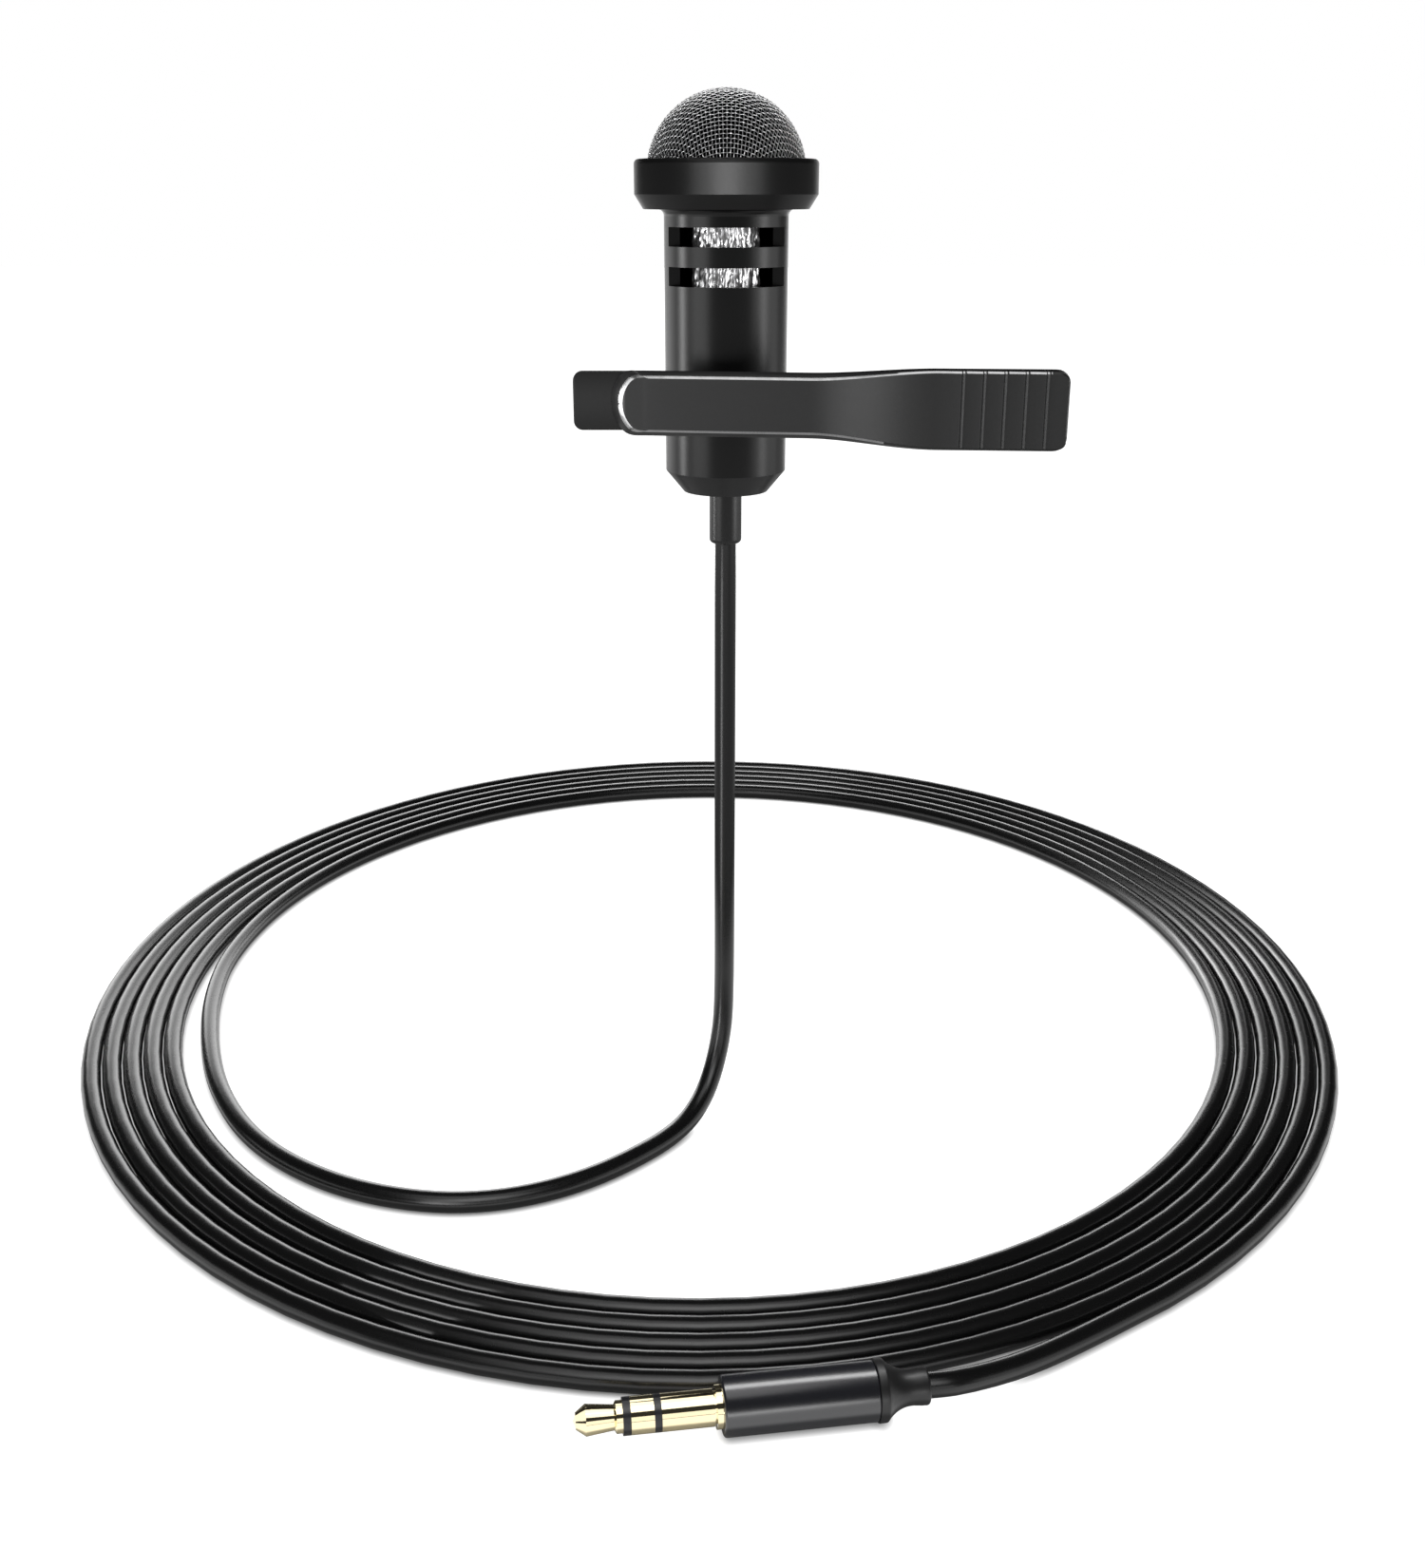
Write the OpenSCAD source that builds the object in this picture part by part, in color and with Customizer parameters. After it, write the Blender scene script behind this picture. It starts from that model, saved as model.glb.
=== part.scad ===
// Lavalier microphone on a sprung clip, with its cable laid in a flat coil and a three-pole plug.
// Millimetres, +Z up. The origin is where the clip's jaws meet; +X runs along the clip to its
// thumb pads, and +Y from the clip to the microphone's barrel.

/* [Barrel] */
// Diameter of the barrel
barrel_d = 13.6; // [12.6:0.1:14.2]
// Length of the barrel's outside, up to the collar
barrel_len = 30.5; // [27:0.1:36]
// Height of the chamfer round the bottom end
bottom_chamfer_h = 2.4; // [1:0.1:3]
// Width of the chamfer round the bottom end
bottom_chamfer_w = 2; // [0.8:0.1:2.3]
// Thickness of the barrel's floor
floor_t = 1.6; // [1:0.1:2]
// Radius of the fillet under the collar
neck_fillet = 0.7; // [0.2:0.1:0.9]
// Height of each sound slot
slot_h = 2; // [1.2:0.05:2.4]
// Solid band between the two slots
slot_land = 2.1; // [1.2:0.05:2.7]
// Distance from the collar down to the upper slot
slot_drop = 1.8; // [1:0.1:2.4]
// Width of a slot seen from the front
slot_w = 12.5; // [10:0.1:12.9]

/* [Head] */
// Diameter of the collar
collar_d = 20; // [19.2:0.1:22]
// Height of the cone under the collar's band
collar_cone_h = 1.5; // [1:0.05:2]
// Height of the collar's band with its rounded edge
collar_band_h = 3.6; // [3:0.1:4.6]
// How far the cone draws in
collar_cone_w = 0.95; // [0.4:0.05:1.2]
// Rounding of the collar's upper edge
collar_round = 0.5; // [0.2:0.05:0.8]
// Diameter of the mesh dome
dome_d = 17.4; // [16.2:0.1:17.6]
// Thickness of the wire mesh
mesh_t = 0.3; // [0.2:0.05:0.4]
// Thickness of the foam under the mesh
foam_t = 1.5; // [0.8:0.1:2.2]

/* [Inside] */
// Diameter of the electret capsule
capsule_d = 9.7; // [9:0.1:10.2]
// Height of the electret capsule
capsule_h = 4.2; // [3.6:0.1:4.5]
// Wall of the cup round the capsule
cup_wall = 0.75; // [0.6:0.05:0.9]
// Diameter of the screen seen through the slots
screen_d = 7.6; // [6:0.1:8.6]
// Thickness of the screen
screen_t = 0.3; // [0.2:0.05:0.5]
// Thickness of the circuit board
board_t = 1; // [0.6:0.1:1.6]
// Diameter of one lead
lead_d = 0.7; // [0.5:0.05:0.9]

/* [Clip] */
// Distance from the jaws to the pivot
pivot_x = 34.3; // [32:0.1:37]
// Distance from the rear lever's face to the pivot
pivot_y = 5; // [4.6:0.1:5.4]
// Length of the thumb pads past the pivot
pad_len = 11.6; // [11:0.1:14]
// Half the width of the front lever's arm
arm_half_w = 3.4; // [2.9:0.05:3.6]
// Half the width of the front thumb pad
pad_half_w = 4.15; // [3.8:0.05:4.8]
// Thickness of the front lever
front_t = 1.3; // [1:0.05:1.5]
// Thickness of the rear lever
rear_t = 1.3; // [1:0.05:1.6]
// Half the width of the rear jaw
jaw_half_w = 3.1; // [2.7:0.05:3.4]
// Half the width of the rear lever's strip
strip_half_w = 2.45; // [2.3:0.05:2.6]
// How far the rear jaw runs past the front one
jaw_reach = 5.6; // [4:0.1:7.5]
// Height of the front lever over the rear one at its nose
nose_h = 2.7; // [2.4:0.05:3.1]
// Rise of the front lever's arm towards the pivot, per millimetre
arm_rise = 0.13; // [0.12:0.01:0.14]
// Height of the front thumb pad over the rear lever's face
pad_h = 8.4; // [8.1:0.1:9.2]
// Height of each step on the thumb pads
rib_h = 0.24; // [0.1:0.02:0.3]
// Distance between the steps on the thumb pads
rib_pitch = 2.12; // [1.8:0.01:2.14]
// Diameter of the pivot pin
pin_d = 1.5; // [1.1:0.1:1.7]
// Diameter of the spring's wire
wire_d = 0.5; // [0.4:0.05:0.5]
// Gap between the spring's turns
wire_gap = 0.45; // [0.42:0.01:0.5]
// Wall of the ring that grips the barrel
ring_wall = 1; // [0.8:0.05:1.2]
// Height of the ring
ring_h = 3.6; // [3:0.1:4]
// Height of the ring's middle over the clip's middle
ring_z = -1.2; // [-1.4:0.1:-0.4]
// Thickness of the ring's foot on the rear lever
ring_foot_t = 1.3; // [1.2:0.05:1.8]
// Angle left open at the back of the ring
ring_gap_angle = 60; // [40:5:80]

/* [Cable] */
// Diameter of the cable
cable_d = 2.5; // [2:0.05:2.6]
// Gap between the cable's turns at their middle height
turn_gap = 0.1; // [0.1:0.01:0.2]
// Diameter of the strain relief
relief_d = 3.7; // [3.3:0.1:4.2]
// Length of the strain relief below the barrel
relief_len = 6.1; // [4.5:0.1:7.5]

/* [Plug] */
// Diameter of the three-pole plug
jack_d = 3.5; // [3.4:0.05:3.6]
// Length of the three-pole plug
jack_len = 13.5; // [13:0.1:15]
// Diameter of the plug's shell
shell_d = 5.7; // [5.2:0.1:5.8]
// Length of the plug's shell
shell_len = 14.9; // [13:0.1:17]
// Wall of the plug's shell
shell_wall = 0.5; // [0.4:0.05:0.6]
// Diameter of the boot's flange behind the shell
boot_d = 6; // [5.9:0.1:7]
// Length of the boot
boot_len = 5.2; // [4.8:0.1:8]
// Diameter of the boot's end
boot_end_d = 3.6; // [3.4:0.1:4.4]

/* [Hidden] */
$fn = 72;

run_gap = 0.05;      // radial clearance of what turns or slides
seat_gap = 0.05;     // clearance of what is only assembled
cut = 1;             // how far a cutter reaches past a face
floor_z = -90.3;       // the surface that the cable lies on

// ---- where the microphone stands ----
barrel_r = barrel_d/2;
mic_x = 10.85;
ring_in_r = barrel_r + run_gap;
mic_y = rear_t + ring_foot_t + ring_in_r;
grip_from_bottom = 11.1;                       // the barrel's bottom to the clip's middle
barrel_z0 = -grip_from_bottom;
collar_z0 = barrel_z0 + barrel_len;
band_z0 = collar_z0 + collar_cone_h;
collar_z1 = band_z0 + collar_band_h;
collar_r = collar_d/2;
cone_r = collar_r - collar_cone_w;
capsule_r = capsule_d/2;
bore_r = capsule_r + cup_wall + 2*seat_gap;
spigot_step = 0.4;                             // how far the spigot inside the collar steps in
spigot_r = barrel_r - spigot_step;
spigot_h = 2.1;
spigot_z1 = collar_z0 + spigot_h;
ledge_z = spigot_z1 + seat_gap;
dome_r = dome_d/2;
dome_skirt = 1.45;                             // straight wall under the dome, inside the collar
dome_z = ledge_z + dome_skirt;
slot_top = collar_z0 - slot_drop;
slot_face_y = -sqrt(barrel_r*barrel_r - slot_w*slot_w/4);
screen_r = screen_d/2;
board_drop = 2;                                // lower slot down to the board
board_z1 = slot_top - 2*slot_h - slot_land - board_drop;
board_z0 = board_z1 - board_t;
shelf_w = 0.5;
cup_rise = 0.35;                               // upper slot up to the cup
cup_z0 = slot_top + cup_rise;
cup_floor = 0.7;
cup_lip_h = 0.5;
cup_lip_w = 0.7;
capsule_z0 = cup_z0 + cup_floor;
inner_floor_z = barrel_z0 + floor_t;

// ---- cable end ----
cable_r = cable_d/2;
relief_r = relief_d/2;
relief_z0 = barrel_z0 - relief_len;
neck_step = 0.25;
neck_r = relief_r - neck_step;
relief_flange_w = 0.7;
relief_flange_r = relief_r + relief_flange_w;
relief_flange_t = 0.6;
stub_z0 = inner_floor_z + seat_gap + relief_flange_t;
stub_len = 3.6;
stub_z1 = stub_z0 + stub_len;
ferrule_h = 1.8;
ferrule_wall = 0.6;
lead_z0 = stub_z1 + 0.1;                       // the leads start clear of the cable, which turns under them

// ---- clip ----
pin_r = pin_d/2;
ear_wall = 1;
ear_r = pin_r + ear_wall;
ear_t = 0.75;
rear_ear_z = 1.4;                                   // inside of the rear lever's ears
front_ear_z = rear_ear_z + ear_t + run_gap;         // inside of the front lever's ears
lever_bevel = 0.35;
edge_bevel = 0.2;
pad_end = pivot_x + pad_len;
ramp_x0 = 19.5;
ramp_end = 1.7;                                     // the ramp ends this far before the pivot
ramp_x1 = pivot_x - ramp_end;
pad_fall = 0.08;
rib_first = pivot_x + 0.55;                         // first step on the pads
rib_count = 5;
rib_edge = 0.02;
nose_gap = 0.1;                                     // half-open slit between nose and rear jaw
nose_tip_x = -1.5;                                  // foremost point of the nose at its foot
nose_foot_h = 0.3;                                  // height of the nose's upright foot
nose_arc = arm_half_w + 0.8;                        // radius of the nose seen from the front
face_tip_x = -0.3;                                  // foremost point of the flat face above it
face_arc = arm_half_w + 0.05;
nose_end_x = 1.4;                                   // the arm is straight from here on
nose_x = 0.9;                                       // where nose_h is measured
flare_w = 0.6;                                      // the arm's sides spread by this from face to foot
pad_flare_w = 0.3;
flare_depth = front_t - 0.35;
back_inset = 0.12;
jaw_corner = 0.95;
jaw_neck_x0 = 0.5;                                  // the rear jaw narrows to the strip between these
jaw_neck_x1 = 4.5;
pad_corner = 1.45;
rear_ramp_x0 = 27;
rear_pad_y = 2.2;
head_r = pin_r + 0.8;                               // the pin's domed head
pin_head_h = 1.05;
front_ear_out = front_ear_z + ear_t;
ring_out_r = ring_in_r + ring_wall;
ring_foot_w = 5;
rivet_r = 0.7;
rivet_head_r = 1.2;
rivet_head_h = 0.5;
spring_clear = 0.15;
spring_r = pin_r + spring_clear + wire_d/2;
spring_pitch = wire_d + wire_gap;
spring_turns = 2.5;
spring_leg = 6.2;

// ---- plug ----
jack_r = jack_d/2;
shell_r = shell_d/2;
boot_r = boot_d/2;
boot_end_r = boot_end_d/2;
flange_t = 0.6;
flange_r = jack_r + 0.3;
plug_angle = 8.5;
plug_x = 9.6;                 // the plug's flange on the surface
plug_y = -53.3;
plug_z = floor_z + boot_r;

// ---- cable's lie ----
coil_x = 8.1;
coil_y = 44.9;
coil_oval = 1.08;             // the coil is a little longer from front to back
coil_r0 = 73.7;               // radius where the innermost turn starts
coil_a0 = 45;                 // degrees from the left, through the far side
coil_a1 = 2040;
coil_pitch = cable_d + turn_gap;
cable_z = floor_z + cable_r;
RINGS_A_TURN = 24;
drop_end_z = -70;

// The cable's free loop, from under the microphone round the left to the coil
LOOP_POINTS = [
    [10.8, 9.3, -74.5], [10.6, 8.6, -79], [9.8, 7, -83.2], [8.4, 4.4, -86.6], [6.4, 1.2, -88.5],
    [4, -2.2, -89.05], [0.6, -6.2, -89.05], [-4, -10.4, -89.05], [-9, -13.6, -89.05],
    [-14.8, -15.8, -89.05], [-21, -16.5, -89.05], [-27.6, -15.5, -89.05], [-33.6, -13.3, -89.05],
    [-39.2, -10, -89.05], [-44.4, -5.7, -89.05], [-49, -0.4, -89.05], [-52.8, 5.6, -89.05],
    [-56, 12, -89.05], [-58.6, 18.8, -89.05], [-60.8, 26, -89.05], [-62.6, 33.4, -89.05]
];

// The cable's last stretch, from the coil to the plug's boot
TAIL_POINTS = [
    [44.2, -42.9, -88.9], [38.8, -46.5, -88.3]
];

// ---- general functions ----
function unit(v) = v/norm(v);
function smooth(t) = let (c = min(1, max(0, t))) c*c*(3 - 2*c);
function mix(a, b, t) = a + (b - a)*t;

function tangents(p) =
    [for (i = [0:len(p) - 1]) unit(p[min(i + 1, len(p) - 1)] - p[max(i - 1, 0)])];

// Normals carried along the path without twist, from the first one given
function carried(t, n0) =
    [for (i = 0, n = n0; i < len(t); n = i + 1 < len(t) ? unit(n - (n*t[i + 1])*t[i + 1]) : n, i = i + 1) n];

function tube_rings(p, r, sides, first, turn) =
    let (t = tangents(p), n = carried(t, unit(first - (first*t[0])*t[0])))
    [for (i = [0:len(p) - 1]) let (b = cross(t[i], n[i]))
        [for (k = [0:sides - 1]) p[i] + r*(cos(turn + 360*k/sides)*n[i] + sin(turn + 360*k/sides)*b)]];

function ring_faces(rings, sides) = concat(
    [for (i = [0:rings - 2], k = [0:sides - 1], h = [0, 1])
        let (a = i*sides + k, b = i*sides + (k + 1)%sides)
        h == 0 ? [a, b, b + sides] : [a, b + sides, a + sides]],
    [for (k = [1:sides - 2]) [0, k + 1, k]],
    [for (k = [1:sides - 2]) let (e = (rings - 1)*sides) [e, e + k, e + k + 1]]
);

function joined(lists) = [for (l = lists) each l];

module rings_solid(rings) {
    polyhedron(points = joined(rings), faces = ring_faces(len(rings), len(rings[0])), convexity = 12);
}

// Reversed winding, for rings that run the other way round
module rings_solid_back(rings) {
    polyhedron(points = joined(rings), convexity = 12,
        faces = [for (f = ring_faces(len(rings), len(rings[0]))) [f[2], f[1], f[0]]]);
}

module turned(profile) {
    rotate_extrude() polygon(profile);
}

module at_mic() {
    translate([mic_x, mic_y, 0]) children();
}

// Along the plug: local +Z runs from the shell's face to the tip
module at_plug() {
    translate([plug_x, plug_y, plug_z]) rotate([0, 0, plug_angle]) rotate([0, -90, 0]) children();
}

function arc_points(cx, cy, r, a0, a1, steps) =
    [for (i = [0:steps]) let (a = mix(a0, a1, i/steps)) [cx + r*cos(a), cy + r*sin(a)]];

// ---- head ----
module head_mesh() {
    skirt_z0 = ledge_z;
    outer = arc_points(0, dome_z, dome_r, 0, 90, 18);
    inner = arc_points(0, dome_z, dome_r - mesh_t, 90, 0, 18);
    color("silver") at_mic()
        turned(concat([[dome_r - mesh_t, skirt_z0], [dome_r, skirt_z0]], outer, inner));
}

module head_foam() {
    foam_r = dome_r - mesh_t - seat_gap;
    outer = arc_points(0, dome_z, foam_r, 0, 90, 14);
    inner = arc_points(0, dome_z, foam_r - foam_t, 90, 0, 14);
    color("#1a1a1a") at_mic()
        turned(concat([[foam_r - foam_t, ledge_z], [foam_r, ledge_z]], outer, inner));
}

module head_collar() {
    color("#26272a") at_mic() turned(concat(
        [[spigot_r + seat_gap, collar_z0], [cone_r, collar_z0], [collar_r, band_z0]],
        arc_points(collar_r - collar_round, collar_z1 - collar_round, collar_round, 0, 90, 5),
        [[dome_r + seat_gap, collar_z1], [dome_r + seat_gap, ledge_z], [spigot_r + seat_gap, ledge_z]]
    ));
}

module capsule_cup() {
    cup_r = bore_r - seat_gap;
    pocket_r = capsule_r + seat_gap;
    lip_r = bore_r + cup_lip_w;
    color("#303236") at_mic() turned([
        [screen_r - screen_t, cup_z0], [cup_r, cup_z0], [cup_r, ledge_z], [lip_r, ledge_z],
        [lip_r, ledge_z + cup_lip_h], [pocket_r, ledge_z + cup_lip_h], [pocket_r, capsule_z0],
        [screen_r - screen_t, capsule_z0]
    ]);
}

module electret_capsule() {
    port_r = 1.2;
    port_depth = 0.4;
    color("#b9bcc0") at_mic() translate([0, 0, capsule_z0]) difference() {
        cylinder(r = capsule_r, h = capsule_h);
        translate([0, 0, capsule_h - port_depth]) cylinder(r = port_r, h = port_depth + cut);
    }
}

// ---- barrel ----
module barrel_body() {
    fillet = arc_points(barrel_r + neck_fillet, collar_z0 - neck_fillet, neck_fillet, 180, 90, 5);
    turned(concat(
        [[neck_r + run_gap, barrel_z0], [barrel_r - bottom_chamfer_w, barrel_z0],
         [barrel_r, barrel_z0 + bottom_chamfer_h]],
        fillet,
        [[spigot_r, collar_z0], [spigot_r, spigot_z1], [bore_r, spigot_z1], [bore_r, board_z0],
         [bore_r - shelf_w, board_z0], [bore_r - shelf_w, inner_floor_z],
         [neck_r + run_gap, inner_floor_z]]
    ));
}

module mic_barrel() {
    color("#2a2b2e") at_mic() difference() {
        barrel_body();
        for (i = [0, 1])
            translate([-barrel_r - cut, -barrel_r - cut, slot_top - slot_h - i*(slot_h + slot_land)])
                cube([2*(barrel_r + cut), barrel_r + cut + slot_face_y, slot_h]);
    }
}

module slot_screen() {
    color("#d9dbde") at_mic() translate([0, 0, board_z1]) difference() {
        cylinder(r = screen_r, h = cup_z0 - board_z1);
        translate([0, 0, -cut]) cylinder(r = screen_r - screen_t, h = cup_z0 - board_z1 + 2*cut);
    }
}

module circuit_board() {
    chip = [2.4, 1.6, 0.9];
    color("#1f6b3c") at_mic() {
        translate([0, 0, board_z0]) cylinder(r = bore_r - seat_gap, h = board_t);
        translate([-chip[0]/2, -chip[1]/2, board_z1]) cube(chip);
    }
}

// A lead that leaves the cable's end, bows outwards and meets the board
module lead(side) {
    span = board_z0 - lead_z0;
    bow = 1.6;
    foot = 0.5;
    splay = 0.7;
    path = [for (i = [0:9]) let (t = i/9)
        [side*(foot + bow*sin(180*smooth(t)) + splay*smooth(t)), 0, lead_z0 + span*t]];
    rings_solid(tube_rings(path, lead_d/2, 6, [1, 0, 0], 0));
}

module signal_lead() {
    color("#c0392b") at_mic() lead(1);
}

module ground_lead() {
    color("#d8d8d8") at_mic() lead(-1);
}

// ---- cable end ----
module cable_stub() {
    color("#1c1c1e") at_mic() translate([0, 0, stub_z0]) cylinder(r = cable_r, h = stub_len);
}

module cable_ferrule() {
    color("#c9a648") at_mic() translate([0, 0, stub_z0 + (stub_len - ferrule_h)/2]) difference() {
        cylinder(r = cable_r + ferrule_wall, h = ferrule_h);
        translate([0, 0, -cut]) cylinder(r = cable_r, h = ferrule_h + 2*cut);
    }
}

module strain_relief() {
    tip_round = 0.5;
    shoulder_gap = run_gap;
    color("#232427") at_mic() turned(concat(
        [[0, relief_z0]],
        arc_points(relief_r - tip_round, relief_z0 + tip_round, tip_round, -90, 0, 5),
        [[relief_r, barrel_z0 - shoulder_gap], [neck_r, barrel_z0 - shoulder_gap],
         [neck_r, inner_floor_z + shoulder_gap], [relief_flange_r, inner_floor_z + shoulder_gap],
         [relief_flange_r, stub_z0], [0, stub_z0]]
    ));
}

// ---- clip: lofted levers ----
// One station of a lever: where the outer face is, which way it faces, half width and thickness
function station(x, y, lean, half_w, t) = [x, y, lean, half_w, t];

// Eight corners of a bevelled strip at a station; inward is the way from the outer face to the inner
function strip_ring(s, bevel) =
    let (inward = [sin(s[2]), cos(s[2]), 0], base = [s[0], s[1], 0], w = s[3], t = s[4], b = min(bevel, w/2))
    [for (c = [[0, w - b], [b, w], [t - b/2, w], [t, w - b/2],
               [t, -w + b/2], [t - b/2, -w], [b, -w], [0, -w + b]])
        base + c[0]*inward + [0, 0, c[1]]];

function arm_y(x) = -(nose_h + arm_rise*(x - nose_x));
function pad_y(x) = -(pad_h + pad_fall*(x - ramp_x1));
function front_y(x) = mix(arm_y(x), pad_y(x), smooth((x - ramp_x0)/(ramp_x1 - ramp_x0)));
function front_w(x) = mix(arm_half_w, pad_half_w, smooth((x - ramp_x0)/(ramp_x1 - ramp_x0)));
function rear_y(x) = rear_pad_y*smooth((x - rear_ramp_x0)/(ramp_x1 + 3 - rear_ramp_x0));

// Half width near a rounded end
function end_w(x, x_end, corner, w) =
    let (d = max(0, corner - abs(x_end - x))) w - corner + sqrt(max(0, corner*corner - d*d));

// Places along a thumb pad: both sides of each step, then the rounded end
function pad_places(x_end) = concat(
    joined([for (i = [0:rib_count - 1]) let (x = rib_first + i*rib_pitch) [[x - rib_edge, 1], [x, 0]]]),
    [for (a = [90, 60, 30, 12, 0]) let (x = x_end - pad_corner*(1 - sin(90 - a)))
        [x, (x - rib_first)/rib_pitch - rib_count + 1]]
);

function flip(p) = [p[0], p[1], -p[2]];

// Section of the front lever from its half: edge of the face, foot of the flared side, edge of the back
function flared_ring(face, foot, back) =
    let (a = face - [0, 0, min(edge_bevel, face[2]/2)], b = face + edge_bevel*unit(foot - face))
    [a, b, foot, back, flip(back), flip(foot), flip(b), flip(a)];

function arm_ring(x, y, face_y, w, flare) =
    flared_ring([x, face_y, w - flare], [x, y + flare_depth, w], [x, y + front_t, w - back_inset]);

// Round the nose, a running from its tip to its side: the face's arc lies behind the foot's
function nose_ring(a) =
    let (
        t = smooth(a/90),
        u = asin((arm_half_w - flare_w)/face_arc)*sin(a),
        v = asin(arm_half_w/nose_arc)*sin(a),
        face_x = face_tip_x + face_arc*(1 - cos(u)),
        face = [face_x, arm_y(face_x), face_arc*sin(u)],
        x = nose_tip_x + nose_arc*(1 - cos(v)),
        z = nose_arc*sin(v)
    ) flared_ring(face, [x, mix(-nose_gap - nose_foot_h, face[1] + flare_depth, t), z],
        [x + back_inset, mix(-nose_gap, face[1] + front_t, t), z - back_inset]);

function front_rings() = concat(
    [for (a = [8, 18, 28, 38, 50, 64, 78, 90]) nose_ring(a)],
    [for (i = [0:3]) let (x = mix(nose_end_x, ramp_x0, i/4))
        arm_ring(x, arm_y(x), arm_y(x), arm_half_w, flare_w)],
    [for (i = [0:10]) let (t = i/10, x = mix(ramp_x0, ramp_x1, t))
        arm_ring(x, front_y(x), front_y(x), front_w(x), mix(flare_w, pad_flare_w, smooth(t)))],
    [for (p = pad_places(pad_end)) let (x = p[0])
        arm_ring(x, pad_y(x), pad_y(x) - rib_h*p[1], end_w(x, pad_end, pad_corner, pad_half_w), pad_flare_w)]
);

function rear_stations() = concat(
    [for (a = [0, 12, 30, 60, 90]) let (x = -jaw_reach + jaw_corner*(1 - cos(a)))
        station(x, rear_t, 180, end_w(x, -jaw_reach, jaw_corner, jaw_half_w), rear_t)],
    [for (i = [0:6]) let (x = mix(jaw_neck_x0, jaw_neck_x1, i/6))
        station(x, rear_t, 180, mix(jaw_half_w, strip_half_w, smooth(i/6)), rear_t)],
    [for (i = [0:8]) let (x = mix(rear_ramp_x0, ramp_x1, i/8))
        station(x, rear_y(x) + rear_t, 180, strip_half_w, rear_t)],
    [for (p = pad_places(pad_end))
        station(p[0], rear_y(p[0]) + rear_t + rib_h*p[1], 180,
                end_w(p[0], pad_end, pad_corner, strip_half_w), rear_t + rib_h*p[1])]
);

// Two ears that stand on a lever and close round the pin
module ears(inside_z, foot_y) {
    pivot = [pivot_x, -pivot_y];
    for (side = [0, 1]) mirror([0, 0, side]) translate([0, 0, inside_z]) linear_extrude(ear_t) {
        translate(pivot) circle(r = ear_r);
        polygon([
            pivot - [ear_r, 0], pivot + [ear_r, 0], [pivot_x + ear_r, foot_y], [pivot_x - ear_r, foot_y]
        ]);
    }
}

module pin_bore(r) {
    translate([pivot_x, -pivot_y, -2*pad_half_w]) cylinder(r = r, h = 4*pad_half_w);
}

module rivet_hole() {
    translate([mic_x, -cut, ring_z]) rotate([-90, 0, 0]) cylinder(r = rivet_r, h = 2*cut + rear_t);
    translate([mic_x, 0, ring_z]) rotate([-90, 0, 0])
        cylinder(r1 = rivet_head_r, r2 = rivet_r, h = rivet_head_h);
}

module front_lever() {
    foot_y = pad_y(pivot_x) + front_t/2;
    color("#2f3033") difference() {
        union() {
            rings_solid(front_rings());
            ears(front_ear_z, foot_y);
        }
        pin_bore(pin_r + run_gap);
    }
}

module rear_lever() {
    foot_y = rear_y(pivot_x) + rear_t/2;
    color("#28292c") difference() {
        union() {
            rings_solid_back([for (s = rear_stations()) strip_ring(s, lever_bevel)]);
            ears(rear_ear_z, foot_y);
        }
        pin_bore(pin_r);
        rivet_hole();
    }
}

module pivot_pin() {
    washer = run_gap;
    color("#b8babd") translate([pivot_x, -pivot_y, 0]) {
        translate([0, 0, -front_ear_out - washer]) cylinder(r = pin_r, h = 2*(front_ear_out + washer));
        translate([0, 0, -front_ear_out - washer - pin_head_h]) pin_head();
    }
}

// Domed rivet head, standing on its flat face
module pin_head() {
    edge = 0.4;
    turned([[0, 0], [head_r - edge, 0], [head_r, edge], [head_r, pin_head_h], [0, pin_head_h]]);
}

// Torsion spring: straight leg on the front pad, turns round the pin, straight leg on the rear pad
function spring_path() =
    let (
        a0 = 180, a1 = 180 - 360*spring_turns, h = spring_pitch*spring_turns, n = 8*spring_turns,
        up = [for (i = [0:n]) let (a = mix(a0, a1, i/n))
            [pivot_x - spring_r*sin(a), -pivot_y + spring_r*cos(a), mix(-h/2, h/2, i/n)]]
    ) concat(
        [up[0] + [spring_leg, 0, 0], up[0] + [spring_leg - wire_d, 0, 0], up[0] + [spring_leg/2, 0, 0]],
        up,
        [up[n] + [spring_leg/2, 0, 0], up[n] + [spring_leg - wire_d, 0, 0], up[n] + [spring_leg, 0, 0]]
    );

module torsion_spring() {
    color("#c4c7ca") rings_solid(tube_rings(spring_path(), wire_d/2, 6, [0, 0, 1], 30));
}

module mic_ring() {
    color("#2a2b2e") translate([0, 0, ring_z]) difference() {
        union() {
            translate([mic_x, mic_y, -ring_h/2]) cylinder(r = ring_out_r, h = ring_h);
            translate([mic_x - ring_foot_w/2, rear_t, -ring_h/2])
                cube([ring_foot_w, ring_foot_t + ring_wall, ring_h]);
        }
        translate([mic_x, mic_y, -ring_h]) cylinder(r = ring_in_r, h = 2*ring_h);
        translate([mic_x, mic_y, -ring_h]) linear_extrude(2*ring_h) polygon([
            [0, 0], 3*ring_out_r*[sin(ring_gap_angle/2), cos(ring_gap_angle/2)],
            3*ring_out_r*[-sin(ring_gap_angle/2), cos(ring_gap_angle/2)]
        ]);
        translate([mic_x, rear_t - cut, 0]) rotate([-90, 0, 0])
            cylinder(r = rivet_r, h = ring_foot_t + 2*cut);
        translate([mic_x, rear_t + ring_foot_t - rivet_head_h, 0]) rotate([-90, 0, 0])
            cylinder(r1 = rivet_r, r2 = rivet_head_r + cut, h = rivet_head_h + cut);
    }
}

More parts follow.
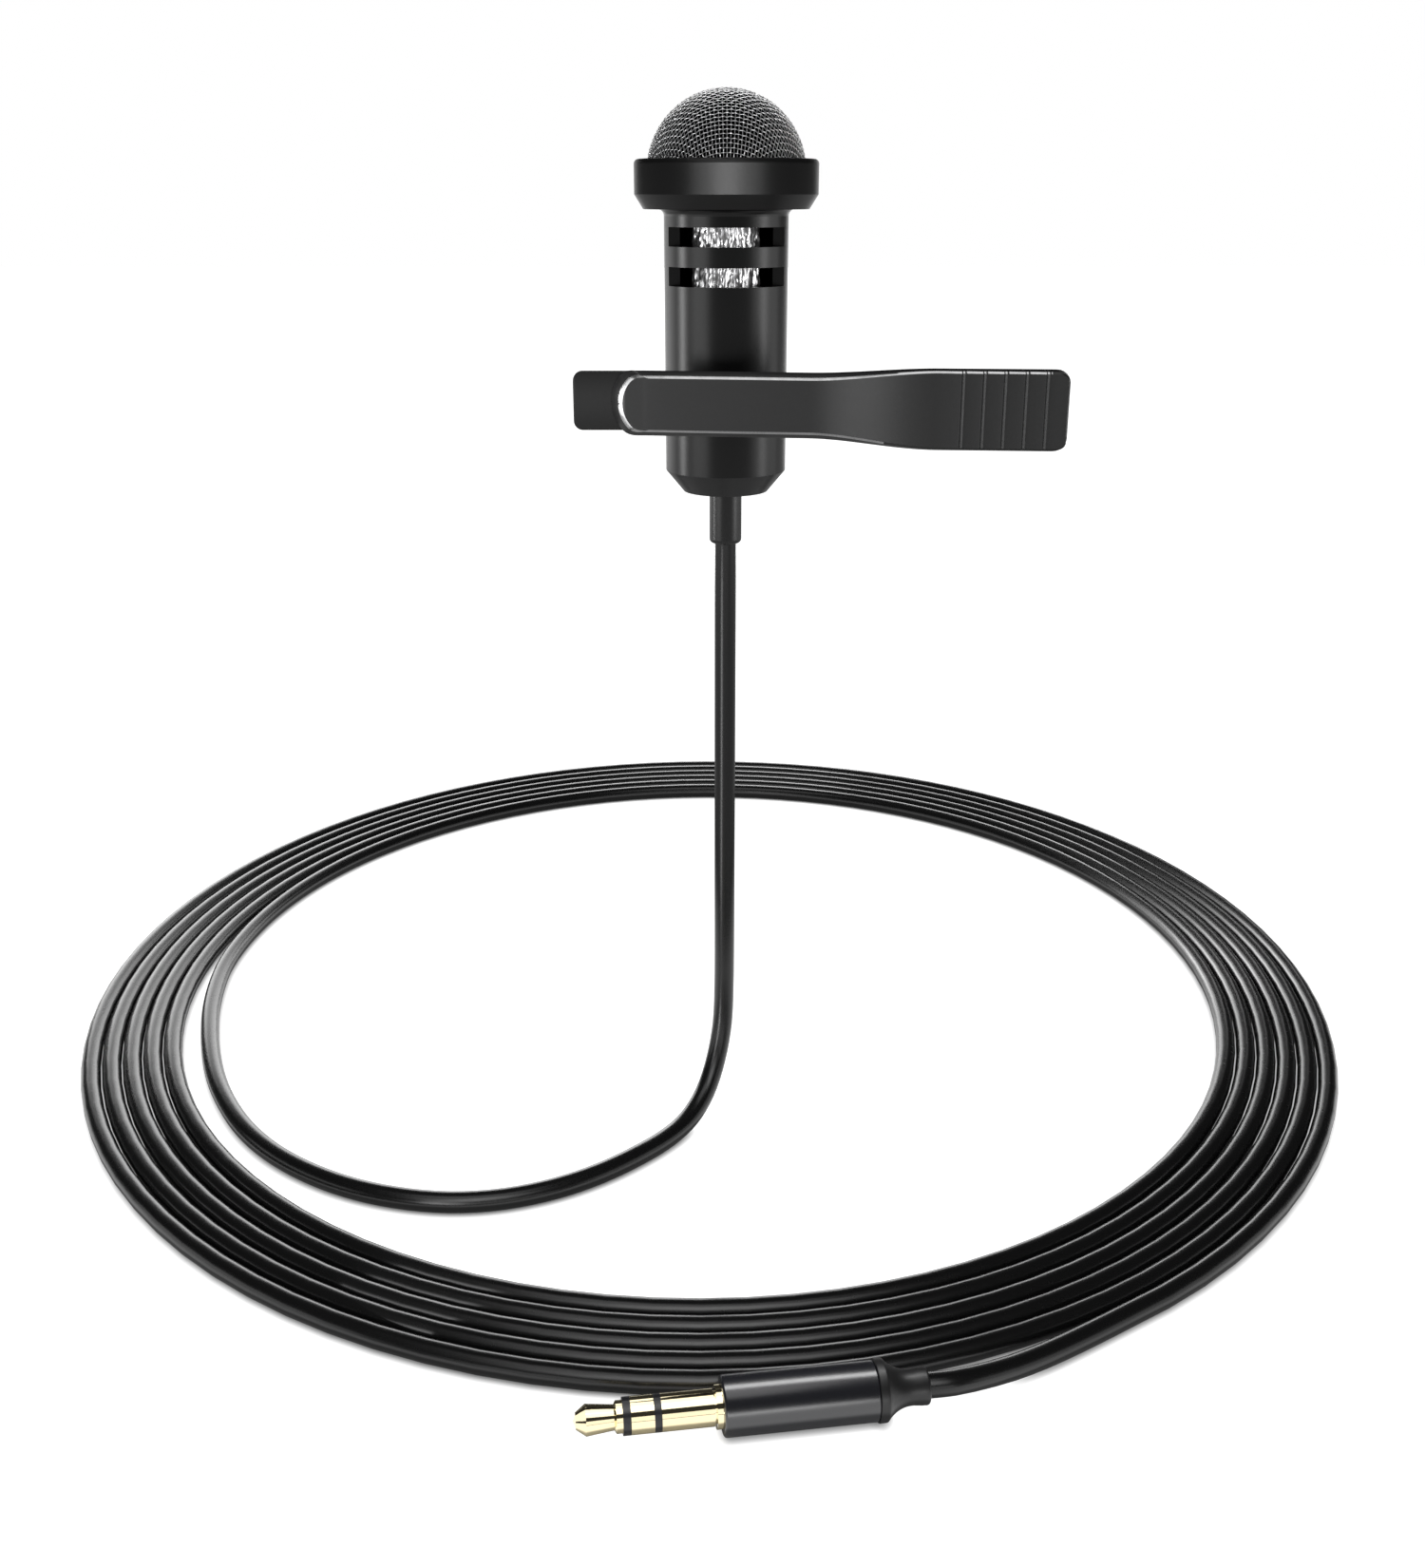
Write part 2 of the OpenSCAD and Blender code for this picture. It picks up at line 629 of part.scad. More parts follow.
module ring_rivet() {
    sunk = 0.15;                   // the upset end lies this far under the ring's inside
    upset = 0.3;
    inner = rear_t + ring_foot_t - sunk;
    color("#9a9da1") translate([mic_x, 0, ring_z]) rotate([-90, 0, 0]) turned([
        [0, 0], [rivet_head_r, 0], [rivet_r, rivet_head_h], [rivet_r, inner - rivet_head_h + sunk],
        [rivet_r + upset, inner], [0, inner]
    ]);
}

// ---- cable ----
function coil_radius(a) = coil_r0 + coil_pitch*(a - coil_a0)/360;
function coil_point(a) =
    [coil_x - coil_radius(a)*cos(a), coil_y + coil_oval*coil_radius(a)*sin(a), cable_z];
function coil_way(a) = unit([sin(a), coil_oval*cos(a), 0]);
// The loop runs inside the next turn, ring beside ring, and closes in on it where the coil starts
lead_in = 1.1;
function lead_point(a) =
    let (r = coil_radius(a) - lead_in*pow((coil_a0 - a)/coil_a0, 2))
    [coil_x - r*cos(a), coil_y + coil_oval*r*sin(a), cable_z];
coil_in_way = unit(coil_point(coil_a0) - lead_point(coil_a0 - 360/RINGS_A_TURN));
coil_entry = coil_point(coil_a0) - cable_d*coil_in_way;
coil_exit = coil_point(coil_a1) + cable_d*coil_way(coil_a1);
coil_path = concat(
    [coil_entry], [for (a = [coil_a0:360/RINGS_A_TURN:coil_a1]) coil_point(a)], [coil_exit]
);
plug_way = [-cos(plug_angle), -sin(plug_angle), 0];
boot_mouth = [plug_x, plug_y, plug_z] - (flange_t + shell_len + boot_len)*plug_way;
coil_rings = tube_rings(coil_path, cable_r, 6, [0, 0, 1], 0);
coil_gap = min([for (
    i = [1:len(coil_rings) - RINGS_A_TURN - 2], p = coil_rings[i], q = coil_rings[i + RINGS_A_TURN]
) norm(p - q)]);
echo(coil_least_gap_mm = coil_gap);
spring_rings = tube_rings(spring_path(), wire_d/2, 6, [0, 0, 1], 30);
spring_gap = min([for (
    i = [3:len(spring_rings) - 12], p = spring_rings[i], q = spring_rings[i + 8]
) norm(p - q)]);
echo(spring_least_gap_mm = spring_gap);

module cord_drop() {
    path = [for (z = [relief_z0, -26, -37, -48, -59, drop_end_z]) [mic_x, mic_y, z]];
    color("#1e1f21") rings_solid(tube_rings(path, cable_r, 8, [1, 0, 0], 0));
}

module cord_loop() {
    path = concat([[mic_x, mic_y, drop_end_z]], LOOP_POINTS,
        [for (i = [3:-1:1]) lead_point(coil_a0 - i*360/RINGS_A_TURN)],
        [coil_entry - cable_d*coil_in_way, coil_entry]);
    color("#1e1f21") rings_solid(tube_rings(path, cable_r, 8, [1, 0, 0], 0));
}

module cord_coil() {
    color("#1e1f21") rings_solid(coil_rings);
}

module cord_tail() {
    path = concat([coil_exit, coil_exit + cable_d*coil_way(coil_a1)], TAIL_POINTS,
        [boot_mouth - cable_d*plug_way, boot_mouth]);
    color("#1e1f21") rings_solid(tube_rings(path, cable_r, 8, [0, 0, 1], 0));
}

// ---- plug ----
// Distances along the plug, back from its tip
tip_cone = 1.2;
tip_waist = 3.85;
tip_back = 4.65;
ring_front = 5.4;
ring_back = 7.6;
sleeve_front = 8.3;
tip_step = 0.6;
tip_r = 0.84*jack_r;
tip_waist_r = 0.67*jack_r;
tip_collar_r = jack_r - 0.25;
tip_end = 0.25;
tip_end_r = 0.45*jack_r;
groove_w = 0.2;               // groove between the sleeve and the flange
groove_r = jack_r - 0.25;
rod_r = 0.55;
ring_tube_r = 1.05;
insulator_t = 0.25;
rod_tail = 4;                 // how far each pole reaches behind the flange
tail_step = 0.6;
tails = [for (i = [0:4]) -flange_t - rod_tail + i*tail_step];

module plug_tip() {
    color("#d9b45a") at_plug() turned([
        [0, tails[0]], [rod_r, tails[0]], [rod_r, jack_len - tip_back],
        [tip_collar_r, jack_len - tip_back], [tip_collar_r, jack_len - tip_back + tip_step],
        [tip_waist_r, jack_len - tip_waist], [tip_r, jack_len - tip_cone],
        [tip_end_r, jack_len - tip_end], [0, jack_len]
    ]);
}

module tip_insulator() {
    color("#1b1b1b") at_plug() turned([
        [rod_r, tails[1]], [rod_r + insulator_t, tails[1]], [rod_r + insulator_t, jack_len - ring_front],
        [jack_r, jack_len - ring_front], [jack_r, jack_len - tip_back], [rod_r, jack_len - tip_back]
    ]);
}

module plug_ring() {
    color("#d9b45a") at_plug() turned([
        [rod_r + insulator_t, tails[2]], [ring_tube_r, tails[2]], [ring_tube_r, jack_len - ring_back],
        [jack_r, jack_len - ring_back], [jack_r, jack_len - ring_front],
        [rod_r + insulator_t, jack_len - ring_front]
    ]);
}

module ring_insulator() {
    color("#1b1b1b") at_plug() turned([
        [ring_tube_r, tails[3]], [ring_tube_r + insulator_t, tails[3]],
        [ring_tube_r + insulator_t, jack_len - sleeve_front], [jack_r, jack_len - sleeve_front],
        [jack_r, jack_len - ring_back], [ring_tube_r, jack_len - ring_back]
    ]);
}

module plug_sleeve() {
    color("#d9b45a") at_plug() turned([
        [ring_tube_r + insulator_t, tails[4]], [groove_r, tails[4]], [groove_r, -flange_t],
        [flange_r, -flange_t], [flange_r, 0], [groove_r, 0], [groove_r, groove_w],
        [jack_r, groove_w], [jack_r, jack_len - sleeve_front],
        [ring_tube_r + insulator_t, jack_len - sleeve_front]
    ]);
}

module plug_core() {
    core_r = shell_r - shell_wall - seat_gap;
    core_len = 3.6;
    color("#e8e6df") at_plug() translate([0, 0, tails[0] - core_len]) cylinder(r = core_r, h = core_len);
}

module plug_shell() {
    front_wall = 1;
    edge = 0.35;
    color("#23262e") at_plug() turned([
        [shell_r - shell_wall, -flange_t - shell_len], [shell_r - edge, -flange_t - shell_len],
        [shell_r, -flange_t - shell_len + edge], [shell_r, -flange_t - edge], [shell_r - edge, -flange_t],
        [groove_r, -flange_t], [groove_r, -flange_t - front_wall],
        [shell_r - shell_wall, -flange_t - front_wall]
    ]);
}

module plug_boot() {
    flange_len = 1.3;
    spigot = 3;
    waist_r = boot_end_r - 0.06;
    lip_len = 1.4;                 // straight lip at the boot's end
    lip_fall = 0.3;
    back = -flange_t - shell_len;
    edge = 0.3;
    throat = boot_len - flange_len - lip_len - lip_fall;
    flare = [for (i = [0:6]) let (t = i/6)
        [mix(waist_r, boot_r, pow(t, 2.2)), back - flange_len - throat*(1 - t)]];
    color("#1d1e20") at_plug() turned(concat(
        [[0, back - boot_len], [boot_end_r - edge, back - boot_len], [boot_end_r, back - boot_len + edge],
         [boot_end_r, back - boot_len + lip_len]],
        flare,
        [[boot_r, back], [shell_r - shell_wall - seat_gap, back],
         [shell_r - shell_wall - seat_gap, back + spigot], [0, back + spigot]]
    ));
}

head_mesh();
head_foam();
head_collar();
capsule_cup();
electret_capsule();
mic_barrel();
slot_screen();
circuit_board();
signal_lead();
ground_lead();
cable_ferrule();
cable_stub();
strain_relief();
rear_lever();
front_lever();
pivot_pin();
torsion_spring();
mic_ring();
ring_rivet();
cord_drop();
cord_loop();
cord_coil();
cord_tail();
plug_tip();
tip_insulator();
plug_ring();
ring_insulator();
plug_sleeve();
plug_core();
plug_shell();
plug_boot();
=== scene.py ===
"""Lavalier microphone on a sprung clip, with its cable laid in a flat coil and a three-pole plug.

Every length is in millimetres until it goes into a mesh, where MM turns it into metres.
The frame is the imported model's: the clip's jaws meet at the origin, +X runs to the thumb pads,
+Y to the barrel and +Z up.
"""

import math

import bpy
import numpy as np
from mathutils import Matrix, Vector, noise


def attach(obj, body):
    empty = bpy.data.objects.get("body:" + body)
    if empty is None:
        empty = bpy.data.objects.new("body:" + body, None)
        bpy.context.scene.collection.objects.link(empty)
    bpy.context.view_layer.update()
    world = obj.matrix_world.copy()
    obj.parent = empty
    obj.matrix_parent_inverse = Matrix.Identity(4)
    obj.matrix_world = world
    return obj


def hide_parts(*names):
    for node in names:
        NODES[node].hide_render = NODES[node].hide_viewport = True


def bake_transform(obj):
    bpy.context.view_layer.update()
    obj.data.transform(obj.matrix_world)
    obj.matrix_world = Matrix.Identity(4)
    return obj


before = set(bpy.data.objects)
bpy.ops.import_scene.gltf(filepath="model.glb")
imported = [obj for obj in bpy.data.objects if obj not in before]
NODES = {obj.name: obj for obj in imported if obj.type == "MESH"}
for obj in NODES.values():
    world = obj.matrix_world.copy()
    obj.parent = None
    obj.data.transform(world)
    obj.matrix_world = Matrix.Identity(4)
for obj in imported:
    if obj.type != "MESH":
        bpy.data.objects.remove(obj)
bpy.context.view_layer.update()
MM = 0.001
TINY, NUDGE = 1e-9, 1e-6  # guards against dividing by nothing

# ---- sizes, as in the part's source ----
MIC_X, MIC_Y = 10.85, 9.45
DOME_R, DOME_Z, MESH_T = 8.7, 23.0, 0.3
LEDGE_Z = 21.55
SCREEN_R, SCREEN_Z0, SCREEN_Z1 = 3.8, 9.5, 17.95
RELIEF_Z0 = -17.2
PIVOT_X, PIVOT_Y = 34.3, 5.0
PAD_END = PIVOT_X + 11.6
FRONT_T, REAR_T = 1.3, 1.3
ARM_W, PAD_W, JAW_W, STRIP_W = 3.4, 4.15, 3.1, 2.45
NOSE_X, NOSE_H, NOSE_GAP = 0.9, 2.7, 0.1
NOSE_TIP, NOSE_ARC, FACE_TIP, FACE_ARC = -1.5, 4.2, -0.3, 3.45
FLARE, FLARE_DEPTH, PAD_FLARE = 0.6, 0.95, 0.3
ARM_RISE, PAD_H, PAD_FALL = 0.13, 8.4, 0.08
RAMP_X0, RAMP_X1 = 19.5, PIVOT_X - 1.7
RIB_FIRST, RIB_PITCH, RIB_COUNT, RIB_H = PIVOT_X + 0.55, 2.12, 5, 0.24
PAD_CORNER, JAW_CORNER, JAW_REACH = 1.45, 0.95, 5.6
REAR_RAMP_X0, REAR_RAMP_X1, REAR_PAD_Y = 27.0, RAMP_X1 + 3, 2.2
EAR_T, EAR_R, REAR_EAR_Z, RUN_GAP = 0.75, 1.75, 1.4, 0.05
FRONT_EAR_Z = REAR_EAR_Z + EAR_T + RUN_GAP
PIN_R, WIRE_R, SPRING_R, SPRING_TURNS, SPRING_PITCH, SPRING_LEG = 0.75, 0.25, 1.15, 2.5, 0.95, 6.2
CABLE_D = 2.5
CABLE_R = CABLE_D / 2
FLOOR_Z = -90.3
CABLE_Z = FLOOR_Z + CABLE_R
COIL_X, COIL_Y, COIL_OVAL, COIL_R0 = 8.1, 44.9, 1.08, 73.7
COIL_A0, COIL_A1, COIL_PITCH, LEAD_IN = 45.0, 2040.0, 2.6, 1.1
PLUG = Vector((9.6, -53.3, -87.3))
PLUG_ANGLE = math.radians(8.5)
PLUG_WAY = Vector((-math.cos(PLUG_ANGLE), -math.sin(PLUG_ANGLE), 0))
FLANGE_T, SHELL_LEN, BOOT_LEN = 0.6, 14.9, 5.2
SHELL_R, SHELL_WALL, SHELL_FRONT, SHELL_MOUTH = 2.85, 0.5, 1.0, 1.5
BOOT_R, BOOT_END_R, BOOT_FLANGE, BOOT_SPIGOT = 3.0, 1.8, 1.0, 3.0
BOOT_FRONT = -FLANGE_T - SHELL_LEN

# The cable's route where it lies free, as in the part's source
DROP_Z = [RELIEF_Z0, -26, -37, -48, -59, -70]
LOOP_POINTS = [
    (10.8, 9.3, -74.5), (10.6, 8.6, -79), (9.8, 7, -83.2), (8.4, 4.4, -86.6), (6.4, 1.2, -88.5),
    (4, -2.2, -89.05), (0.6, -6.2, -89.05), (-4, -10.4, -89.05), (-9, -13.6, -89.05),
    (-14.8, -15.8, -89.05), (-21, -16.5, -89.05), (-27.6, -15.5, -89.05), (-33.6, -13.3, -89.05),
    (-39.2, -10, -89.05), (-44.4, -5.7, -89.05), (-49, -0.4, -89.05), (-52.8, 5.6, -89.05),
    (-56, 12, -89.05), (-58.6, 18.8, -89.05), (-60.8, 26, -89.05), (-62.6, 33.4, -89.05),
]
LEAD_ANGLES = (0, 7.5, 15, 22.5, 30, 37.5)
TAIL_POINTS = [(44.2, -42.9, -88.9), (38.8, -46.5, -88.3)]


# ---- helpers: numbers ----
def smooth(t):
    t = min(1.0, max(0.0, t))
    return t * t * (3 - 2 * t)


def mix(a, b, t):
    return a + (b - a) * t


def turn_angles(steps):
    """The angles of a full turn, in radians."""
    return [2 * math.pi * k / steps for k in range(steps)]


def arc(x, y, r, a0, a1, steps):
    """Points of an arc about (x, y), between two angles in degrees."""
    angles = [math.radians(mix(a0, a1, i / steps)) for i in range(steps + 1)]
    return [(x + r * math.cos(a), y + r * math.sin(a)) for a in angles]


def through(points, steps):
    """A smooth line through the points, as a centripetal Catmull-Rom curve."""
    p = [Vector(q) for q in points]
    p = [2 * p[0] - p[1]] + p + [2 * p[-1] - p[-2]]
    line = []
    for i in range(1, len(p) - 2):
        knots = [0.0]
        for k in range(3):
            knots.append(knots[-1] + max(NUDGE, (p[i + k] - p[i + k - 1]).length) ** 0.5)
        for s in range(steps):
            t = mix(knots[1], knots[2], s / steps)
            level = [p[i + k - 1] for k in range(4)]
            for depth in range(1, 4):
                level = [
                    level[k].lerp(level[k + 1], (t - knots[k]) / (knots[k + depth] - knots[k]))
                    for k in range(4 - depth)
                ]
            line.append(level[0])
    return line + [p[-2]]


# ---- helpers: meshes ----
def make(name, verts, faces, look, body, sharp=None):
    """A new piece from vertices in millimetres; sharp is the angle from which an edge stays hard."""
    mesh = bpy.data.meshes.new(name)
    mesh.from_pydata([tuple(MM * c for c in v) for v in verts], [], faces)
    mesh.update()
    mesh.polygons.foreach_set("use_smooth", [True] * len(mesh.polygons))
    if sharp is not None:
        mesh.set_sharp_from_angle(angle=math.radians(sharp))
    mesh.materials.append(look)
    obj = bpy.data.objects.new(name, mesh)
    bpy.context.scene.collection.objects.link(obj)
    if body:
        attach(obj, body)
    return obj


def carried(path, first):
    """A path's points and tangents, and normals carried along it without twist."""
    p = np.array([tuple(q) for q in path], float)
    t = np.empty_like(p)
    t[1:-1] = p[2:] - p[:-2]
    t[0], t[-1] = p[1] - p[0], p[-1] - p[-2]
    t /= np.linalg.norm(t, axis=1)[:, None]
    n = np.empty_like(p)
    v = np.array(first, float)
    for i in range(len(p)):
        v = v - v.dot(t[i]) * t[i]
        v /= np.linalg.norm(v)
        n[i] = v
    return p, t, n


def loft(rings, caps=True):
    """Vertices and faces of a skin over closed rings of equal count."""
    m = len(rings[0])
    verts = [v for r in rings for v in r]
    faces = []
    for i in range(len(rings) - 1):
        for k in range(m):
            a, b = i * m + k, i * m + (k + 1) % m
            faces.append((a, b, b + m, a + m))
    if caps:
        faces.append(tuple(range(m - 1, -1, -1)))
        faces.append(tuple((len(rings) - 1) * m + k for k in range(m)))
    return verts, faces


def tube(path, radius, sides, first=(1, 0, 0)):
    """Vertices and faces of a round tube along a path."""
    p, t, n = carried(path, first)
    b = np.cross(t, n)
    a = np.linspace(0, 2 * math.pi, sides, endpoint=False)
    rings = p[:, None] + radius * (
        np.cos(a)[None, :, None] * n[:, None] + np.sin(a)[None, :, None] * b[:, None]
    )
    return loft([list(map(tuple, r)) for r in rings])


def joined(parts):
    """Several (vertices, faces) pairs as one."""
    verts, faces = [], []
    for v, f in parts:
        base = len(verts)
        verts += list(v)
        faces += [tuple(base + i for i in face) for face in f]
    return verts, faces


# ---- helpers: materials ----
GRAIN_DETAIL, FINE_DETAIL, LEAST_ROUGH = 4.0, 2.0, 0.02


def combine(tree, operation, a, b):
    """The output of a Math node over two other outputs."""
    node = tree.nodes.new("ShaderNodeMath")
    node.operation = operation
    tree.links.new(a, node.inputs[0])
    tree.links.new(b, node.inputs[1])
    return node.outputs[0]


def material(
    name, color, rough, metal=0.0, spot=None, vary=0.15, scale=900.0, stretch=(1, 1, 1),
    rough_vary=0.08, bump=0.03, bump_mm=0.02, specular=0.5, fine=None,
):
    """A Principled material whose colour, roughness and surface vary with noise in object space.

    spot is the second colour, scale the noise's spots per metre, fine a second, finer bump."""
    m = bpy.data.materials.new(name)
    m.use_nodes = True
    tree = m.node_tree
    nodes, links = tree.nodes, tree.links
    shader = nodes["Principled BSDF"]
    shader.inputs["Metallic"].default_value = metal
    shader.inputs["Specular IOR Level"].default_value = specular
    place = nodes.new("ShaderNodeTexCoord")
    turn = nodes.new("ShaderNodeMapping")
    turn.inputs["Scale"].default_value = stretch
    links.new(place.outputs["Object"], turn.inputs["Vector"])
    grain = nodes.new("ShaderNodeTexNoise")
    grain.inputs["Scale"].default_value = scale
    grain.inputs["Detail"].default_value = GRAIN_DETAIL
    links.new(turn.outputs["Vector"], grain.inputs["Vector"])
    blend = nodes.new("ShaderNodeMix")
    blend.data_type = "RGBA"
    second = spot or tuple(c * (1 - vary) for c in color)
    blend.inputs[6].default_value = (*color, 1)
    blend.inputs[7].default_value = (*second, 1)
    links.new(grain.outputs["Fac"], blend.inputs[0])
    links.new(blend.outputs[2], shader.inputs["Base Color"])
    spread = nodes.new("ShaderNodeMapRange")
    spread.inputs["To Min"].default_value = max(LEAST_ROUGH, rough - rough_vary)
    spread.inputs["To Max"].default_value = min(1.0, rough + rough_vary)
    links.new(grain.outputs["Fac"], spread.inputs["Value"])
    links.new(spread.outputs["Result"], shader.inputs["Roughness"])
    height = grain.outputs["Fac"]
    if fine:
        small = nodes.new("ShaderNodeTexNoise")
        small.inputs["Scale"].default_value = fine
        small.inputs["Detail"].default_value = FINE_DETAIL
        links.new(place.outputs["Object"], small.inputs["Vector"])
        height = combine(tree, "ADD", grain.outputs["Fac"], small.outputs["Fac"])
    relief = nodes.new("ShaderNodeBump")
    relief.inputs["Strength"].default_value = bump
    relief.inputs["Distance"].default_value = bump_mm * MM
    links.new(height, relief.inputs["Height"])
    links.new(relief.outputs["Normal"], shader.inputs["Normal"])
    return m


BARREL = material(
    "barrel_paint", (0.005, 0.005, 0.0052), 0.3, vary=0.3, scale=3000, rough_vary=0.02, bump=0.01,
    bump_mm=0.001,
)
COLLAR = material(
    "collar_paint", (0.004, 0.004, 0.0041), 0.36, vary=0.3, scale=3500, rough_vary=0.03, bump=0.01,
    bump_mm=0.002,
)
CLIP = material(
    "clip_paint", (0.012, 0.012, 0.0123), 0.36, vary=0.3, scale=2500, rough_vary=0.03, bump=0.03,
    bump_mm=0.005,
)
# A bright metal for the front lever's rim: a painted highlight along its edges
RIM_HIGHLIGHT_LOOK = material("rim_painted_highlight", (0.6, 0.6, 0.605), 0.25, metal=1.0, vary=0.3, scale=900, bump=0.02)
RING = material("ring_paint", (0.014, 0.014, 0.0143), 0.4, vary=0.3, scale=3000, bump=0.08, bump_mm=0.01)
STEEL = material("wire_steel", (0.7, 0.7, 0.705), 0.32, metal=1.0, vary=0.25, scale=1500, bump=0.02)
FOAM = material(
    "open_foam", (0.002, 0.002, 0.002), 0.95, vary=0.6, scale=2600, bump=0.6, bump_mm=0.1,
    specular=0.05,
)
FOIL = material(
    "screen_foil", (0.82, 0.82, 0.82), 0.42, metal=1.0, spot=(0.35, 0.35, 0.36), scale=1500,
    stretch=(1, 1, 0.14), rough_vary=0.12, bump=0.3, bump_mm=0.06,
)
CUP = material("cup_plastic", (0.02, 0.02, 0.021), 0.6, scale=2000, bump=0.1)
CAPSULE = material("capsule_aluminium", (0.7, 0.7, 0.71), 0.3, metal=1.0, vary=0.1, scale=1500, bump=0.04)
BOARD = material("board_mask", (0.01, 0.09, 0.03), 0.35, spot=(0.02, 0.14, 0.05), scale=1200, bump=0.08)
RED = material("lead_red", (0.42, 0.02, 0.02), 0.45, scale=1800, bump=0.05)
WHITE = material("lead_white", (0.6, 0.6, 0.58), 0.45, scale=1800, bump=0.05)
BRASS = material("ferrule_brass", (0.65, 0.45, 0.16), 0.3, metal=1.0, scale=1800, bump=0.05)
CABLE = material(
    "cable_jacket", (0.004, 0.004, 0.0041), 0.26, vary=0.3, scale=1400, rough_vary=0.04, bump=0.04,
    bump_mm=0.02, fine=6000,
)
RELIEF = material(
    "relief_rubber", (0.007, 0.007, 0.0072), 0.3, vary=0.3, scale=2500, bump=0.04, specular=0.7,
)
SPRING = material("spring_steel", (0.55, 0.55, 0.56), 0.25, metal=1.0, scale=1500, bump=0.03)
PIN = material("pin_steel", (0.5, 0.5, 0.51), 0.28, metal=1.0, scale=1500, bump=0.03)
GOLD = material(
    "plug_gold", (0.98, 0.86, 0.56), 0.06, metal=1.0, vary=0.08, scale=1800, rough_vary=0.02,
    bump=0.02, bump_mm=0.005,
)
INSULATOR = material("insulator_black", (0.01, 0.01, 0.012), 0.3, scale=2500, bump=0.04)
SHELL = material(
    "shell_black", (0.008, 0.0085, 0.0115), 0.26, vary=0.2, scale=1500, rough_vary=0.02, bump=0.01,
    bump_mm=0.003, specular=1.0,
)
CORE = material("core_white", (0.75, 0.74, 0.7), 0.5, scale=1500, bump=0.08)
BOOT = material("boot_rubber", (0.009, 0.009, 0.0093), 0.42, vary=0.3, scale=2200, bump=0.1, fine=7000)

# The CAD pieces that are rendered as they are, with their looks
NODE_LOOKS = {
    "head_collar": COLLAR, "capsule_cup": CUP, "electret_capsule": CAPSULE, "mic_barrel": BARREL,
    "circuit_board": BOARD, "signal_lead": RED, "ground_lead": WHITE, "cable_ferrule": BRASS,
    "cable_stub": CABLE, "strain_relief": RELIEF, "pivot_pin": PIN, "mic_ring": RING,
    "ring_rivet": PIN, "plug_tip": GOLD, "tip_insulator": INSULATOR, "plug_ring": GOLD,
    "ring_insulator": INSULATOR, "plug_sleeve": GOLD, "plug_core": CORE,
}
for node, look in NODE_LOOKS.items():
    NODES[node].data.materials.clear()
    NODES[node].data.materials.append(look)

# ---- camera: where the photograph was taken from ----
PHOTO_H, FOCAL_PX, SENSOR = 1650, 1767.8, 36.0
CAMERA_AT = (9.35, -183.62, 21.34)
CAMERA_PITCH = 19.471
NEAREST, FARTHEST = 0.01, 20.0  # in metres
eye = bpy.data.cameras.new("camera")
eye.sensor_width = SENSOR
eye.lens = FOCAL_PX / PHOTO_H * eye.sensor_width
eye.clip_start, eye.clip_end = NEAREST, FARTHEST
camera = bpy.data.objects.new("camera", eye)
camera.location = [MM * c for c in CAMERA_AT]
camera.rotation_euler = (math.radians(90 - CAMERA_PITCH), 0, 0)
bpy.context.scene.collection.objects.link(camera)
bpy.context.scene.camera = camera

# ---- the plug's shell and boot, with the soft edges that the real ones have ----
PLUG_STEPS, EDGE_STEPS = 72, 6
SHELL_TAIL_EDGE, SHELL_FRONT_EDGE = 0.14, 0.3
AXIS_R = 0.02  # how near to the axis the boot's ends close
BOOT_TAIL_EDGE, BOOT_FRONT_EDGE = 0.3, 0.12
BOOT_LIP_EDGE, BOOT_LIP_RISE, BOOT_LIP_FROM = 0.35, 0.3, -35
# Behind the boot's tail, as (over the tail's radius, from its end): a bead that falls to a waist
BOOT_BEAD = [(-0.02, 0.8), (-0.06, 1.2), (-0.1, 1.6)]
BOOT_SWELL, BOOT_SWELL_TO, BOOT_SWELL_STEPS = 2.3, BOOT_R - 0.2, 13
SPIGOT_GAP = 0.05


def plug_turned(profile):
    """Rings of a skin round the plug's axis, from points of (radius, place along the plug)."""
    side = Vector((-PLUG_WAY.y, PLUG_WAY.x, 0))
    rings = []
    for r, along in profile:
        centre = PLUG + along * PLUG_WAY
        rings.append([
            tuple(centre + r * math.cos(a) * side + Vector((0, 0, r * math.sin(a))))
            for a in turn_angles(PLUG_STEPS)
        ])
    return rings


def shell_profile():
    inside = SHELL_R - SHELL_WALL
    return [
        (inside, BOOT_FRONT),
        *arc(SHELL_R - SHELL_TAIL_EDGE, BOOT_FRONT + SHELL_TAIL_EDGE, SHELL_TAIL_EDGE, -90, 0, EDGE_STEPS),
        *arc(SHELL_R - SHELL_FRONT_EDGE, -FLANGE_T - SHELL_FRONT_EDGE, SHELL_FRONT_EDGE, 0, 90, EDGE_STEPS),
        (SHELL_MOUTH, -FLANGE_T), (SHELL_MOUTH, -FLANGE_T - SHELL_FRONT),
        (inside, -FLANGE_T - SHELL_FRONT), (inside, BOOT_FRONT),
    ]


